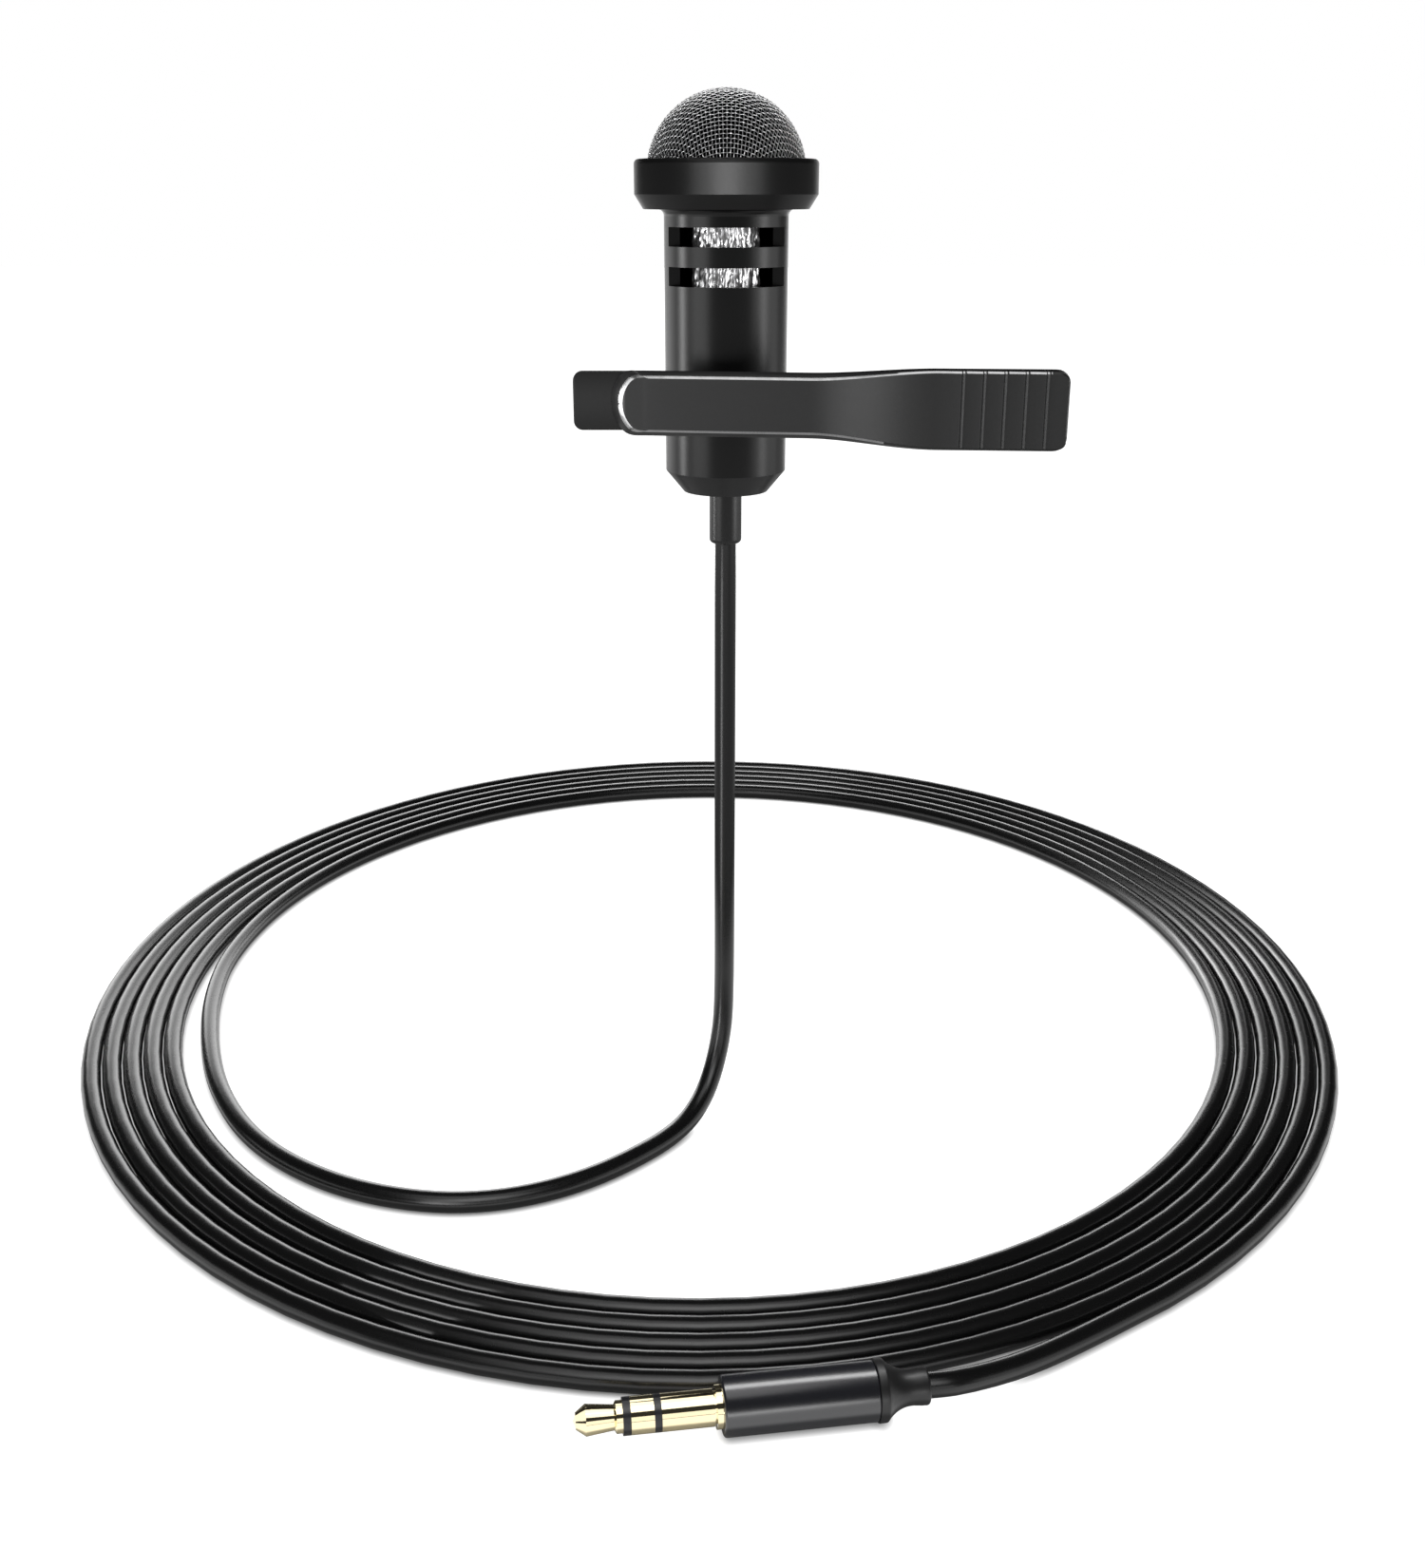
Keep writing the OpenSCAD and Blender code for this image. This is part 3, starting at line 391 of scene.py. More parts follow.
def boot_profile():
    end, lip = BOOT_FRONT - BOOT_LEN, BOOT_FRONT - BOOT_FLANGE
    tail, front_edge = BOOT_TAIL_EDGE, BOOT_FRONT_EDGE
    line = [(AXIS_R, end), *arc(BOOT_END_R - tail, end + tail, tail, -90, 0, EDGE_STEPS)]
    line += [(BOOT_END_R + over, end + along) for over, along in BOOT_BEAD]
    waist, start = line[-1]
    for i in range(1, BOOT_SWELL_STEPS):
        t = i / BOOT_SWELL_STEPS
        line.append((mix(waist, BOOT_SWELL_TO, t ** BOOT_SWELL), mix(start, lip, t)))
    line += arc(BOOT_R - BOOT_LIP_EDGE, lip + BOOT_LIP_RISE, BOOT_LIP_EDGE, BOOT_LIP_FROM, 0, EDGE_STEPS)
    line += arc(BOOT_R - front_edge, BOOT_FRONT - front_edge, front_edge, 0, 90, EDGE_STEPS // 2)
    inside = SHELL_R - SHELL_WALL - SPIGOT_GAP
    return line + [
        (inside, BOOT_FRONT), (inside, BOOT_FRONT + BOOT_SPIGOT), (AXIS_R, BOOT_FRONT + BOOT_SPIGOT),
    ]


shell = make("plug_shell_skin", *loft(plug_turned(shell_profile()), caps=False), SHELL, "root", sharp=50)
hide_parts("plug_shell")
boot = make("plug_boot_skin", *loft(plug_turned(boot_profile())), BOOT, "root", sharp=60)
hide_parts("plug_boot")

# ---- the cable ----
COIL_STEP = 3.75  # degrees between the coil's points
START_STEPS, END_STEPS = 4, 3  # points from one given point to the next, on each side of the coil
CABLE_SIDES = 16


def ring_point(a, r):
    """A point of the coil, whose angle starts at the left and goes round the back."""
    a = math.radians(a)
    return Vector((COIL_X - r * math.cos(a), COIL_Y + COIL_OVAL * r * math.sin(a), CABLE_Z))


def coil_radius(a):
    return COIL_R0 + COIL_PITCH * (a - COIL_A0) / 360


def lead_radius(a):
    return coil_radius(a) - LEAD_IN * ((COIL_A0 - a) / COIL_A0) ** 2


def cable_route():
    drop = [Vector((MIC_X, MIC_Y, z)) for z in DROP_Z]
    lead = [ring_point(a, lead_radius(a)) for a in LEAD_ANGLES]
    steps = int((COIL_A1 - COIL_A0) / COIL_STEP)
    angles = [COIL_A0 + i * COIL_STEP for i in range(steps + 1)]
    coil = [ring_point(a, coil_radius(a)) for a in angles]
    out = (coil[-1] - coil[-2]).normalized()
    mouth = PLUG - (FLANGE_T + SHELL_LEN + BOOT_LEN) * PLUG_WAY
    tail = [coil[-1] + CABLE_D * out, *map(Vector, TAIL_POINTS), mouth - CABLE_D * PLUG_WAY, mouth]
    start = through(drop + [Vector(p) for p in LOOP_POINTS] + lead + coil[:2], START_STEPS)
    end = through(coil[-2:] + tail, END_STEPS)
    return start[:-START_STEPS - 1] + coil[:-1] + end[END_STEPS:]


route = cable_route()
cable = make("cable", *tube(route, CABLE_R, CABLE_SIDES), CABLE, None, sharp=60)
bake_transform(cable)
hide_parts("cord_drop", "cord_loop", "cord_coil", "cord_tail")

# ---- the woven dome ----
WIRES_A_QUARTER, DOME_WIRE_R, DOME_WIRE_SIDES = 27, 0.053, 5
DOME_REACH = 88  # degrees from the top down to which the wires run
WAVE = 0.07  # how far a wire goes in and out between its crossings
OFF_AXIS = np.array((1e-4, 1e-4, 0))  # keeps a wire's first normal off its own direction


def woven_dome():
    r = DOME_R - MESH_T / 2
    reach = math.radians(DOME_REACH) * r
    pitch = math.pi / 2 * r / WIRES_A_QUARTER
    parts = []
    for family in (0, 1):
        for i in range(-WIRES_A_QUARTER + 1, WIRES_A_QUARTER):
            v = i * pitch
            if reach * reach - v * v < (2 * pitch) ** 2:
                continue
            n = int(math.sqrt(reach * reach - v * v) / pitch * 2)
            path = []
            for j in range(-n, n + 1):
                u = j * pitch / 2
                rho = math.hypot(u, v)
                x, y = (u, v) if family == 0 else (v, u)
                rr = r + WAVE * math.cos(math.pi * (j / 2 + i + family))
                polar = rho / r
                s = rr * math.sin(polar) / max(rho, TINY)
                path.append((MIC_X + x * s, MIC_Y + y * s, DOME_Z + rr * math.cos(polar)))
            first = np.array(path[len(path) // 2]) - (MIC_X, MIC_Y, DOME_Z)
            parts.append(tube(path, DOME_WIRE_R, DOME_WIRE_SIDES, first=first + OFF_AXIS))
    return joined(parts)


mesh_dome = make("mesh_dome", *woven_dome(), STEEL, "microphone", sharp=80)
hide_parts("head_mesh")

# ---- the foam under the dome ----
FOAM_GAP, FOAM_FOOT_GAP, FOAM_WALL = 0.06, 0.02, 1.4
FOAM_TOP = 89.5  # the latitude at which the foam's top closes
FOAM_ROUND, FOAM_UP = 128, 40
FOAM_DENT, FOAM_DENT_SIZE, FOAM_EVEN_R = 0.12, 0.35, 0.3


def foam_skin():
    """The foam's skin round the barrel's axis, with dents all over but where its top closes."""
    outside, foot = DOME_R - MESH_T - FOAM_GAP, LEDGE_Z + FOAM_FOOT_GAP
    profile = [(outside - FOAM_WALL, foot), (outside, foot)]
    profile += arc(0, DOME_Z, outside, 0, FOAM_TOP, FOAM_UP)
    rings = []
    for r, z in profile:
        ring = []
        for a in turn_angles(FOAM_ROUND):
            p = Vector((r * math.cos(a), r * math.sin(a), z))
            if r > FOAM_EVEN_R:
                dent = FOAM_DENT * (0.5 + 0.5 * noise.noise(p / FOAM_DENT_SIZE))
                p = p - dent * Vector((p.x, p.y, max(0, z - DOME_Z))).normalized()
            ring.append((MIC_X + p.x, MIC_Y + p.y, p.z))
        rings.append(ring)
    return loft(rings)


foam = make("foam_lining", *foam_skin(), FOAM, "microphone")
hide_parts("head_foam")

# ---- the crumpled screen behind the slots ----
SCREEN_ROUND, SCREEN_UP = 220, 44
CRUMPLE_GAP, CRUMPLE, CRUMPLE_MOST = 0.04, 0.55, 0.7
# The folds run up the screen: the noise goes fast round it, slowly up it, and sways as it rises
FOLDS_ROUND, FOLDS_UP, FOLD_SWAY, FOLD_SWAY_RATE = 8, 0.28, 0.025, 0.8
COARSE_FOLDS, FINE_FOLDS, FINE_SHARE, FINE_SHIFT = 1.1, 2.3, 0.5, Vector((7, 3, 1))


def crumpled_screen():
    rings = []
    for j in range(SCREEN_UP + 1):
        z = mix(SCREEN_Z0, SCREEN_Z1, j / SCREEN_UP)
        sway = FOLD_SWAY * math.sin(FOLD_SWAY_RATE * z)
        ring = []
        for a in turn_angles(SCREEN_ROUND):
            q = Vector((FOLDS_ROUND * math.cos(a + sway), FOLDS_ROUND * math.sin(a + sway), z * FOLDS_UP))
            fold = abs(noise.noise(q * COARSE_FOLDS))
            fold += FINE_SHARE * abs(noise.noise(q * FINE_FOLDS + FINE_SHIFT))
            r = SCREEN_R - CRUMPLE_GAP - CRUMPLE * min(CRUMPLE_MOST, fold)
            ring.append((MIC_X + r * math.cos(a), MIC_Y + r * math.sin(a), z))
        rings.append(ring)
    return loft(rings, caps=False)


screen = make("foil_screen", *crumpled_screen(), FOIL, "microphone", sharp=50)
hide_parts("slot_screen")

# ---- the clip's levers ----
# The angles, in degrees, of the points on a rounded corner
CORNER_ANGLES = (0, 8, 18, 30, 45, 60, 75, 90)
# A rib's edge, as (along, share of its height): its crest, the drop behind it into a groove,
# a low lip and the foot of the next rib's slope
RIB_SHAPE = [(-0.3, 0.86), (-0.12, 1), (-0.04, 0.3), (0.02, 0.2), (0.22, 0.48), (0.32, 0.26), (0.5, 0.24)]
RING_POINTS = 12  # in each ring of the front lever
NOSE_RIM, ARM_RIM, PAD_RIM = 0.5, 0.26, 0.2
RIM_DEPTH, NOSE_RIM_IN, RIM_IN = 0.8, 0.8, 0.5  # a rim's depth and how far out it starts, in its widths
RIM_SOFT, BACK_SOFT = 0.12, 0.6  # how far the soft lines lie from the foot towards the rim and the back
BACK_EDGE, NOSE_LIP, PAD_END_LEAN = 0.12, 0.3, 0.3
CORNER = 0.5  # how soft the corners are at which the nose's arcs reach the arm's width
# Half the width that the nose's first ring keeps at its face, foot, back and rim
FACE_MEET, FOOT_MEET, BACK_MEET, RIM_MEET = 0.02, 0.05, 0.04, 0.001
ARM_X0 = 2.6  # where the nose's rings end and the arm's begin
NOSE_STEPS, NOSE_RIM_FROM, ARM_STEPS, RAMP_STEPS = 18, 12, 8, 24
# The rings from the nose on whose lower edge the rim gets the bright metal of a painted highlight, and the
# further ones on whose upper edge it gets it
RIM_RINGS, RIB_RINGS = 42, 45
EAR_STEP, PIN_GAP = 12, 0.02  # degrees between an ear's points, and the room round the pin
# The radii of the rear lever's edges. The first is at most this share of half the width
REAR_FACE_EDGE, REAR_BACK_EDGE, MOST_EDGE = 0.3, 0.15, 0.6
FACE_EDGE_STEPS, BACK_EDGE_STEPS = 6, 3
JAW_NECK_X0, JAW_NECK_X1, NECK_STEPS, REAR_RAMP_STEPS = 0.5, 4.5, 8, 12


def ramp(x):
    """0 along the arm and 1 along the thumb pad."""
    return smooth((x - RAMP_X0) / (RAMP_X1 - RAMP_X0))


def arm_y(x):
    return -(NOSE_H + ARM_RISE * (x - NOSE_X))


def pad_y(x):
    return -(PAD_H + PAD_FALL * (x - RAMP_X1))


def rear_y(x):
    return REAR_PAD_Y * smooth((x - REAR_RAMP_X0) / (REAR_RAMP_X1 - REAR_RAMP_X0))


def end_w(x, x_end, corner, w):
    """Half the width at x of a strip that is w wide and ends in rounded corners at x_end."""
    d = max(0.0, corner - abs(x_end - x))
    return w - corner + math.sqrt(max(0.0, corner * corner - d * d))


def pad_places():
    """Places along a thumb pad, with the height of the saw-tooth ribs at each."""
    places = []
    for i in range(RIB_COUNT):
        x = RIB_FIRST + i * RIB_PITCH
        places += [(x + along, h) for along, h in RIB_SHAPE]
    for a in reversed(CORNER_ANGLES):
        x = PAD_END - PAD_CORNER * (1 - math.cos(math.radians(a)))
        places.append((x, (x - RIB_FIRST) / RIB_PITCH - RIB_COUNT + 1))
    return places


def capped(z, top):
    """z held below top, with a soft corner where it gets there."""
    h = min(1.0, max(0.0, 0.5 + 0.5 * (top - z) / CORNER))
    return mix(top, z, h) - CORNER * h * (1 - h)


def lever_ring(face, foot, back, rim):
    """A ring of the front lever from its upper edge points (x, y, z): face edge, foot and back edge.

    Between the face and the flared foot runs a narrow rim, which carries a painted highlight."""
    face, foot, back = Vector(face), Vector(foot), Vector(back)
    out = Vector((foot.x - face.x, 0, foot.z - face.z))
    out = out.normalized() if out.length > NUDGE else Vector((0, 0, 1))
    edge = face - rim * out
    edge.z = max(edge.z, RIM_MEET)
    low = edge + rim * out + Vector((0, RIM_DEPTH * rim, 0))
    half = [edge, low, foot.lerp(low, RIM_SOFT), foot, foot.lerp(back, BACK_SOFT), back]
    return [tuple(q) for q in half] + [(q.x, q.y, -q.z) for q in reversed(half)]


def nose_ring(i):
    """A ring of the rounded nose: its face and its foot are arcs of their own."""
    q = math.radians(90 / NOSE_STEPS * i)
    span = math.asin((ARM_W - FLARE + CORNER) / FACE_ARC) * math.sin(q)
    outer = math.asin((ARM_W + CORNER) / NOSE_ARC) * math.sin(q)
    fx, fz = FACE_TIP + FACE_ARC * (1 - math.cos(span)), capped(FACE_ARC * math.sin(span), ARM_W - FLARE)
    ox, oz = NOSE_TIP + NOSE_ARC * (1 - math.cos(outer)), capped(NOSE_ARC * math.sin(outer), ARM_W)
    fy, t = arm_y(fx), smooth(i / NOSE_STEPS)
    face = Vector((fx, fy, max(fz, FACE_MEET)))
    foot = Vector((ox, mix(-NOSE_GAP - NOSE_LIP, fy + FLARE_DEPTH, t), max(oz, FOOT_MEET)))
    back = (ox + BACK_EDGE, mix(-NOSE_GAP, fy + FRONT_T, t), max(BACK_MEET, oz - BACK_EDGE))
    rim = mix(NOSE_RIM, ARM_RIM, smooth((i - NOSE_RIM_FROM) / (NOSE_STEPS - NOSE_RIM_FROM)))
    out = Vector((foot.x - face.x, 0, foot.z - face.z)).normalized()
    return lever_ring(face + NOSE_RIM_IN * rim * out, foot, back, rim)


def front_rings():
    rings = [nose_ring(i) for i in range(NOSE_STEPS + 1)]
    places = [mix(ARM_X0, RAMP_X0, i / ARM_STEPS) for i in range(ARM_STEPS + 1)]
    places += [mix(RAMP_X0, RAMP_X1, i / RAMP_STEPS) for i in range(1, RAMP_STEPS + 1)]
    for x in places:
        t = ramp(x)
        y, w = mix(arm_y(x), pad_y(x), t), mix(ARM_W, PAD_W, t)
        flare, rim = mix(FLARE, PAD_FLARE, t), mix(ARM_RIM, PAD_RIM, t)
        rings.append(lever_ring(
            (x, y, w - flare + RIM_IN * rim), (x, y + FLARE_DEPTH, w), (x, y + FRONT_T, w - BACK_EDGE), rim,
        ))
    for x, h in pad_places():
        y, w = pad_y(x), end_w(x, PAD_END, PAD_CORNER, PAD_W)
        lean = PAD_END_LEAN - min(PAD_END_LEAN, max(0.0, PAD_END - x))
        rings.append(lever_ring(
            (x - lean, y - RIB_H * h, w - PAD_FLARE + RIM_IN * PAD_RIM), (x, y + FLARE_DEPTH, w),
            (x, y + FRONT_T, w - BACK_EDGE), PAD_RIM,
        ))
    return rings


def rear_ring(x, y, w, t):
    """The rear lever's outline at x: y is its outer face, w half its width and t its thickness."""
    face, back = min(REAR_FACE_EDGE, MOST_EDGE * w), REAR_BACK_EDGE
    outline = arc(face, w - face, face, 180, 90, FACE_EDGE_STEPS)
    outline += arc(t - back, w - back, back, 90, 0, BACK_EDGE_STEPS)
    return [(x, y - c, -z) for c, z in outline] + [(x, y - c, z) for c, z in reversed(outline)]


def rear_rings():
    rings = []
    for a in CORNER_ANGLES:
        x = -JAW_REACH + JAW_CORNER * (1 - math.cos(math.radians(a)))
        rings.append(rear_ring(x, REAR_T, end_w(x, -JAW_REACH, JAW_CORNER, JAW_W), REAR_T))
    for i in range(NECK_STEPS + 1):
        t = i / NECK_STEPS
        x, w = mix(JAW_NECK_X0, JAW_NECK_X1, t), mix(JAW_W, STRIP_W, smooth(t))
        rings.append(rear_ring(x, REAR_T, w, REAR_T))
    for i in range(REAR_RAMP_STEPS + 1):
        x = mix(REAR_RAMP_X0, RAMP_X1, i / REAR_RAMP_STEPS)
        rings.append(rear_ring(x, rear_y(x) + REAR_T, STRIP_W, REAR_T))
    for x, h in pad_places():
        t = REAR_T + RIB_H * h
        rings.append(rear_ring(x, rear_y(x) + t, end_w(x, PAD_END, PAD_CORNER, STRIP_W), t))
    return rings


def ear(z0, foot_y, side):
    """One ear of a lever: a round end about the pin, walls down to the lever, and the pin's bore."""
    depth = abs(foot_y + PIVOT_Y)
    way = 1 if foot_y > -PIVOT_Y else -1
    corner = math.degrees(math.atan2(depth, EAR_R))
    bore_r = PIN_R + PIN_GAP
    bore, rim = [], []
    for a in sorted({*range(0, 360, EAR_STEP), corner + 180, 360 - corner}):
        c, s = math.cos(math.radians(a)), math.sin(math.radians(a))
        far = EAR_R if s >= 0 else min(EAR_R / max(abs(c), TINY), depth / abs(s))
        bore.append((PIVOT_X + bore_r * c, -PIVOT_Y - way * bore_r * s))
        rim.append((PIVOT_X + far * c, -PIVOT_Y - way * far * s))
    z1 = z0 + EAR_T
    loops = [(bore, z0), (bore, z1), (rim, z1), (rim, z0), (bore, z0)]
    return loft([[(x, y, side * z) for x, y in ring] for ring, z in loops], caps=False)


def lever(rings, ears_z, foot_y):
    """A lever's skin with its two ears."""
    return joined([loft(rings)] + [ear(ears_z, foot_y, side) for side in (1, -1)])


def paint_rim_highlight(obj):
    """The rim, which is the strip next to the front lever's face on each edge, gets its own bright metal
    material: a painted highlight along the edges.
    """
    obj.data.materials.append(RIM_HIGHLIGHT_LOOK)
    for face in obj.data.polygons:
        if len(face.vertices) != 4:
            continue
        k, last = {v % RING_POINTS for v in face.vertices}, max(face.vertices)
        upper = k == {0, 1} and last < RING_POINTS * (RIM_RINGS + RIB_RINGS)
        lower = k == {RING_POINTS - 2, RING_POINTS - 1} and last < RING_POINTS * RIM_RINGS
        if upper or lower:
            face.material_index = 1


front_skin = lever(front_rings(), FRONT_EAR_Z, pad_y(PIVOT_X) + FRONT_T / 2)
front = make("front_lever_skin", *front_skin, CLIP, "front_lever", sharp=32)
paint_rim_highlight(front)
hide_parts("front_lever")
rear_skin = lever(rear_rings(), REAR_EAR_Z, rear_y(PIVOT_X) + REAR_T / 2)
rear = make("rear_lever_skin", *rear_skin, CLIP, "root", sharp=35)
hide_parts("rear_lever")

# ---- the torsion spring: its coil and rear leg on the rear lever, its front leg on the front one ----
SPRING_STEPS, LEG_STEPS, SPRING_SIDES = 120, 4, 14
LEG_OVERLAP = 5  # the coil's first points, which the front leg shares and uncovers as the jaw opens


def spring_route():
    """The front leg's path, and the path of the coil with the rear leg."""
    high = SPRING_PITCH * SPRING_TURNS
    coil = []
    for i in range(SPRING_STEPS + 1):
        t = i / SPRING_STEPS
        a = math.radians(mix(180, 180 - 360 * SPRING_TURNS, t))
        x, y = PIVOT_X - SPRING_R * math.sin(a), -PIVOT_Y + SPRING_R * math.cos(a)
        coil.append(Vector((x, y, mix(-high / 2, high / 2, t))))
    leg = [Vector((SPRING_LEG * k / LEG_STEPS, 0, 0)) for k in range(1, LEG_STEPS + 1)]
    front_leg = [coil[0] + along for along in reversed(leg)] + coil[:LEG_OVERLAP]
    return front_leg, coil + [coil[-1] + along for along in leg]


def wire(path):
    return tube(path, WIRE_R, SPRING_SIDES, first=(0, 0, 1))


front_leg, spring_coil = spring_route()
spring = make("spring_coil", *wire(spring_coil), SPRING, "root", sharp=60)
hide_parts("torsion_spring")
leg = make("spring_front_leg", *wire(front_leg), SPRING, "front_lever", sharp=60)

# ---- the surface it lies on ----
# Its own grey, how far from a piece it is darker to the camera as a painted contact shadow, and how far it
# lies under the cable
FLOOR_GREY, FLOOR_SHADE, FLOOR_GAP = 0.5, 0.8, 0.02
FLOOR_HALF, FLOOR_TILES = 2500, 12
# The surface's level in reflections, by how far away in millimetres what reflects it is:
# dark where a piece touches it as painted shade, white nearby, dim far off. (from, to, level before, level
# after)
GLOW_STEPS = [(2.8, 4.4, 0.03, 1.0), (45, 90, 1.0, 0.09)]


def stage_material():
    """White for the camera and in reflections, with painted contact shade near pieces, and a pale surface
    that keeps the object's shadow.
    """
    m = bpy.data.materials.new("white_surface")
    m.use_nodes = True
    tree = m.node_tree
    nodes, links = tree.nodes, tree.links
    nodes.clear()
    out = nodes.new("ShaderNodeOutputMaterial")
    plain = nodes.new("ShaderNodeBsdfDiffuse")
    plain.inputs["Color"].default_value = (FLOOR_GREY, FLOOR_GREY, FLOOR_GREY, 1)
    glow = nodes.new("ShaderNodeEmission")
    rays = nodes.new("ShaderNodeLightPath")
    open_sky = nodes.new("ShaderNodeAmbientOcclusion")
    open_sky.inputs["Distance"].default_value = FLOOR_SHADE * MM
    mirrored = rays.outputs["Is Glossy Ray"]
    for start, end, before, after in GLOW_STEPS:
        change = nodes.new("ShaderNodeMapRange")
        change.interpolation_type = "SMOOTHSTEP"
        change.inputs["From Min"].default_value = start * MM
        change.inputs["From Max"].default_value = end * MM
        change.inputs["To Min"].default_value = before
        change.inputs["To Max"].default_value = after
        links.new(rays.outputs["Ray Length"], change.inputs["Value"])
        mirrored = combine(tree, "MULTIPLY", mirrored, change.outputs["Result"])
    # the camera sees the glow dimmed by ambient occlusion next to pieces: a painted contact shadow
    shaded = combine(tree, "MULTIPLY", rays.outputs["Is Camera Ray"], open_sky.outputs["AO"])
    links.new(combine(tree, "MAXIMUM", shaded, mirrored), glow.inputs["Strength"])
    both = nodes.new("ShaderNodeAddShader")
    links.new(plain.outputs[0], both.inputs[0])
    links.new(glow.outputs[0], both.inputs[1])
    links.new(both.outputs[0], out.inputs["Surface"])
    return m


def floor_tiles():
    """A flat square of tiles, just under the cable."""
    lines = [mix(-FLOOR_HALF, FLOOR_HALF, i / FLOOR_TILES) for i in range(FLOOR_TILES + 1)]
    row = len(lines)
    corners = [j * row + i for j in range(FLOOR_TILES) for i in range(FLOOR_TILES)]
    verts = [(x, y, FLOOR_Z - FLOOR_GAP) for y in lines for x in lines]
    return verts, [(c, c + 1, c + row + 1, c + row) for c in corners]


floor = make("surface", *floor_tiles(), stage_material(), None)

# ---- the world: white to the camera and through glass, grey on surfaces, dark in reflections ----
WORLD_WHITE, WORLD_DIFFUSE, WORLD_GLOSSY = 1.0, 0.6, 0.03
world = bpy.data.worlds.new("studio")
bpy.context.scene.world = world
world.use_nodes = True
tree = world.node_tree
nodes, links = tree.nodes, tree.links
rays = nodes.new("ShaderNodeLightPath")
clear = combine(tree, "MAXIMUM", rays.outputs["Is Camera Ray"], rays.outputs["Is Transmission Ray"])
dim = nodes.new("ShaderNodeMix")
dim.inputs[2].default_value, dim.inputs[3].default_value = WORLD_DIFFUSE, WORLD_GLOSSY
links.new(rays.outputs["Is Glossy Ray"], dim.inputs[0])
seen = nodes.new("ShaderNodeMix")
seen.inputs[3].default_value = WORLD_WHITE
links.new(clear, seen.inputs[0])
links.new(dim.outputs[0], seen.inputs[2])
links.new(seen.outputs[0], nodes["Background"].inputs["Strength"])
nodes["Background"].inputs["Color"].default_value = (1, 1, 1, 1)


# ---- the lamps ----
def soft_box(name, at, aim, size, level, only=None, spread=180):
    """A soft box at a place in millimetres, aimed at a point. level is how bright its face looks,
    where white paper is 1, and only names what it lights, where that isn't everything."""
    data = bpy.data.lights.new(name, "AREA")
    data.shape = "RECTANGLE"
    data.size, data.size_y = size[0] * MM, size[1] * MM
    data.energy = level * math.pi * data.size * data.size_y
    data.spread = math.radians(spread)
    obj = bpy.data.objects.new(name, data)
    obj.location = [MM * c for c in at]
    obj.rotation_euler = (Vector(aim) - Vector(at)).to_track_quat("-Z", "Y").to_euler()
    obj.visible_camera = False
    bpy.context.scene.collection.objects.link(obj)
    if only:
        lit = bpy.data.collections.new(name + "_lights")
        for piece in only:
            lit.objects.link(piece)
        obj.light_linking.receiver_collection = lit


def round_mic(degrees, far, z):
    """A place at an angle round the barrel: 0 is in front and negative is to the left."""
    a = math.radians(degrees)
    return (MIC_X + far * math.sin(a), MIC_Y - far * math.cos(a), z)


BODY_AT, HEAD_AT = (MIC_X, MIC_Y, 0), (MIC_X, MIC_Y, 24)
COIL_AT, COIL_FRONT_AT, HANDLE_AT = (0, 0, -89), (8, -40, -89), (15, -50, -87)
BODY = [NODES["mic_barrel"], NODES["strain_relief"], NODES["mic_ring"], front, rear]
COLLAR_ONLY = [NODES["head_collar"]]
HEAD = [mesh_dome, screen]
POLES = [NODES[n] for n in ("plug_tip", "tip_insulator", "plug_ring", "ring_insulator", "plug_sleeve")]
HANDLE = [shell, boot]
SMALL_STEEL = [NODES["ring_rivet"], NODES["pivot_pin"]]
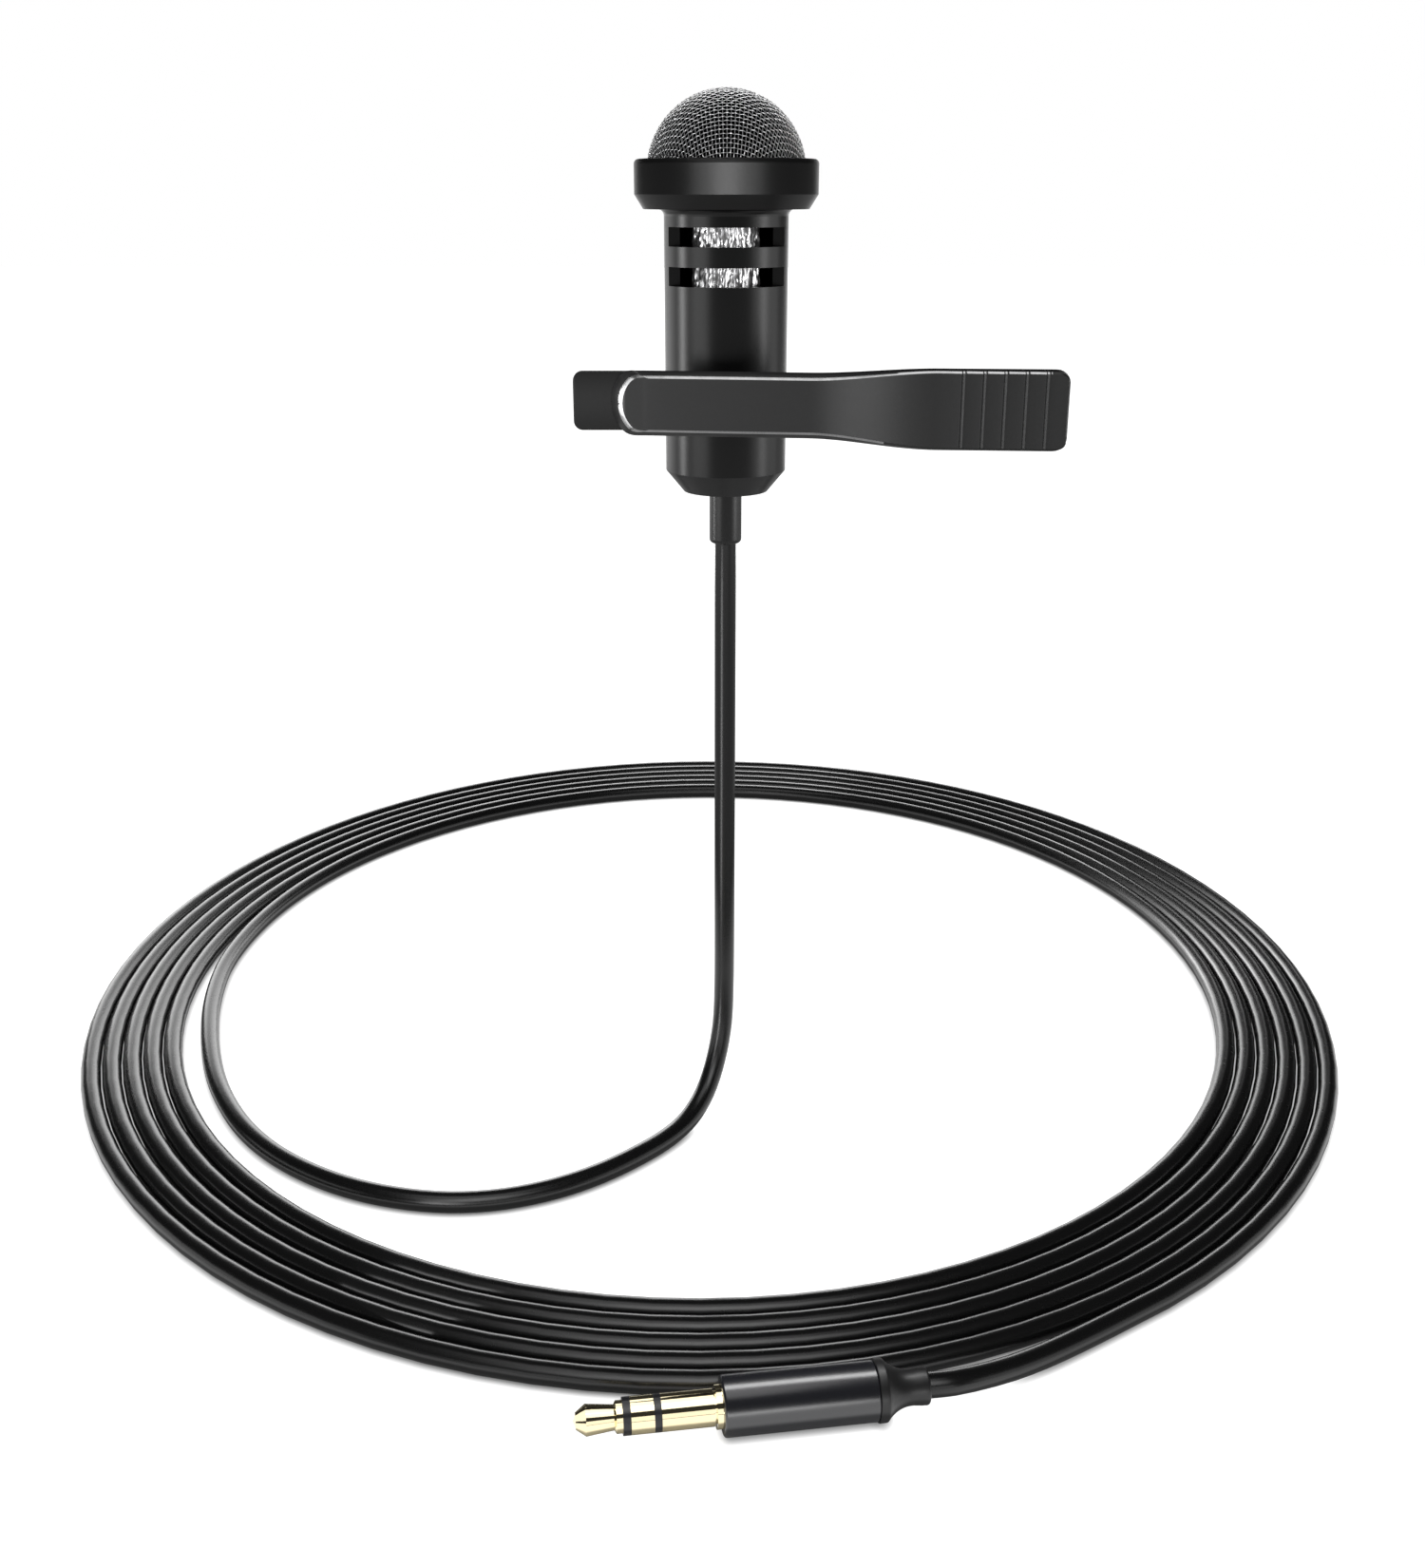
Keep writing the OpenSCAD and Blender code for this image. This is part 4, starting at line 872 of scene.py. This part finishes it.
# name, place, aim, (width, height), level, what it lights (the last lamp: everything) and spread
LAMPS = [
    ("left_panel", round_mic(-50, 400, 10), BODY_AT, (240, 190), 1.7, BODY),
    ("left_strip", round_mic(-89, 400, 10), BODY_AT, (60, 190), 10.5, BODY),
    ("left_edge", round_mic(-128, 400, 10), BODY_AT, (240, 190), 1.0, BODY),
    ("right_core", round_mic(73, 400, 10), BODY_AT, (100, 190), 3.0, BODY),
    ("right_panel", round_mic(80, 400, 10), BODY_AT, (480, 190), 0.9, BODY),
    ("ramp_panel", round_mic(-34, 400, -30), BODY_AT, (90, 190), 4.5, [front]),
    ("nose_left", (-60, -22, 0), (0, -5, 0), (50, 170), 1.7, [front]),
    ("clip_front", round_mic(6, 400, -45), BODY_AT, (480, 190), 0.52, [front]),
    ("jaw_front", round_mic(-3, 400, -45), BODY_AT, (320, 190), 1.0, [rear]),
    ("collar_core", round_mic(0, 330, 26), HEAD_AT, (180, 60), 6.5, COLLAR_ONLY),
    ("collar_wide", round_mic(1, 330, 26), HEAD_AT, (600, 60), 4.5, COLLAR_ONLY),
    ("dome_box", round_mic(-2, 330, 26), HEAD_AT, (130, 60), 27.0, HEAD),
    ("behind_coil", (-120, 300, -13), (-120, 0, -13), (350, 150), 3.6, [cable]),
    ("coil_glint", (-40, 298, 5), (95, 45, -89), (60, 100), 0.4, [cable], 40),
    ("coil_front_near", (10, -160, 60), COIL_FRONT_AT, (260, 120), 0.4, [cable], 60),
    ("coil_right_front", (105, 300, -42), (105, 0, -42), (90, 84), 3.5, [cable]),
    ("coil_left_low", (-330, -80, -40), COIL_AT, (300, 96), 1.1, [cable]),
    ("coil_right_low", (350, -80, -40), COIL_AT, (300, 96), 0.8, [cable]),
    ("coil_right", (190, 300, 5), (82, 45, -89), (60, 60), 1.6, [cable]),
    ("coil_front", (10, -330, -30), COIL_FRONT_AT, (500, 100), 1.1, [cable]),
    ("drop_panel", (-26, -38, -59), (MIC_X, MIC_Y, -59), (14, 58), 1.6, [cable], 90),
    ("poles_top", (5, -10, 150), (5, -10, -90), (300, 405), 1.6, POLES),
    ("poles_front", (0, -330, -17), (0, -55, -87), (500, 140), 1.2, POLES),
    ("poles_left", (-300, -60, 10), (-5, -55, -87), (300, 200), 1.3, POLES),
    ("handle_strip", (10, 24, 150), HANDLE_AT, (300, 70), 8.5, HANDLE),
    ("handle_low", (10, -300, -66), HANDLE_AT, (300, 44), 5.0, HANDLE),
    ("back_soft", round_mic(180, 400, 20), BODY_AT, (500, 200), 1.0, BODY + COLLAR_ONLY + SMALL_STEEL),
    ("steel_front", round_mic(0, 400, 60), BODY_AT, (500, 300), 0.8, SMALL_STEEL),
    ("back_dome", round_mic(180, 400, 0), BODY_AT, (500, 120), 0.2, HEAD),
    ("top_soft", (-40, -150, 500), (10, 10, -40), (400, 300), 1.3),
]
for lamp in LAMPS:
    soft_box(*lamp)

scene = bpy.context.scene
scene.view_settings.view_transform = "Standard"
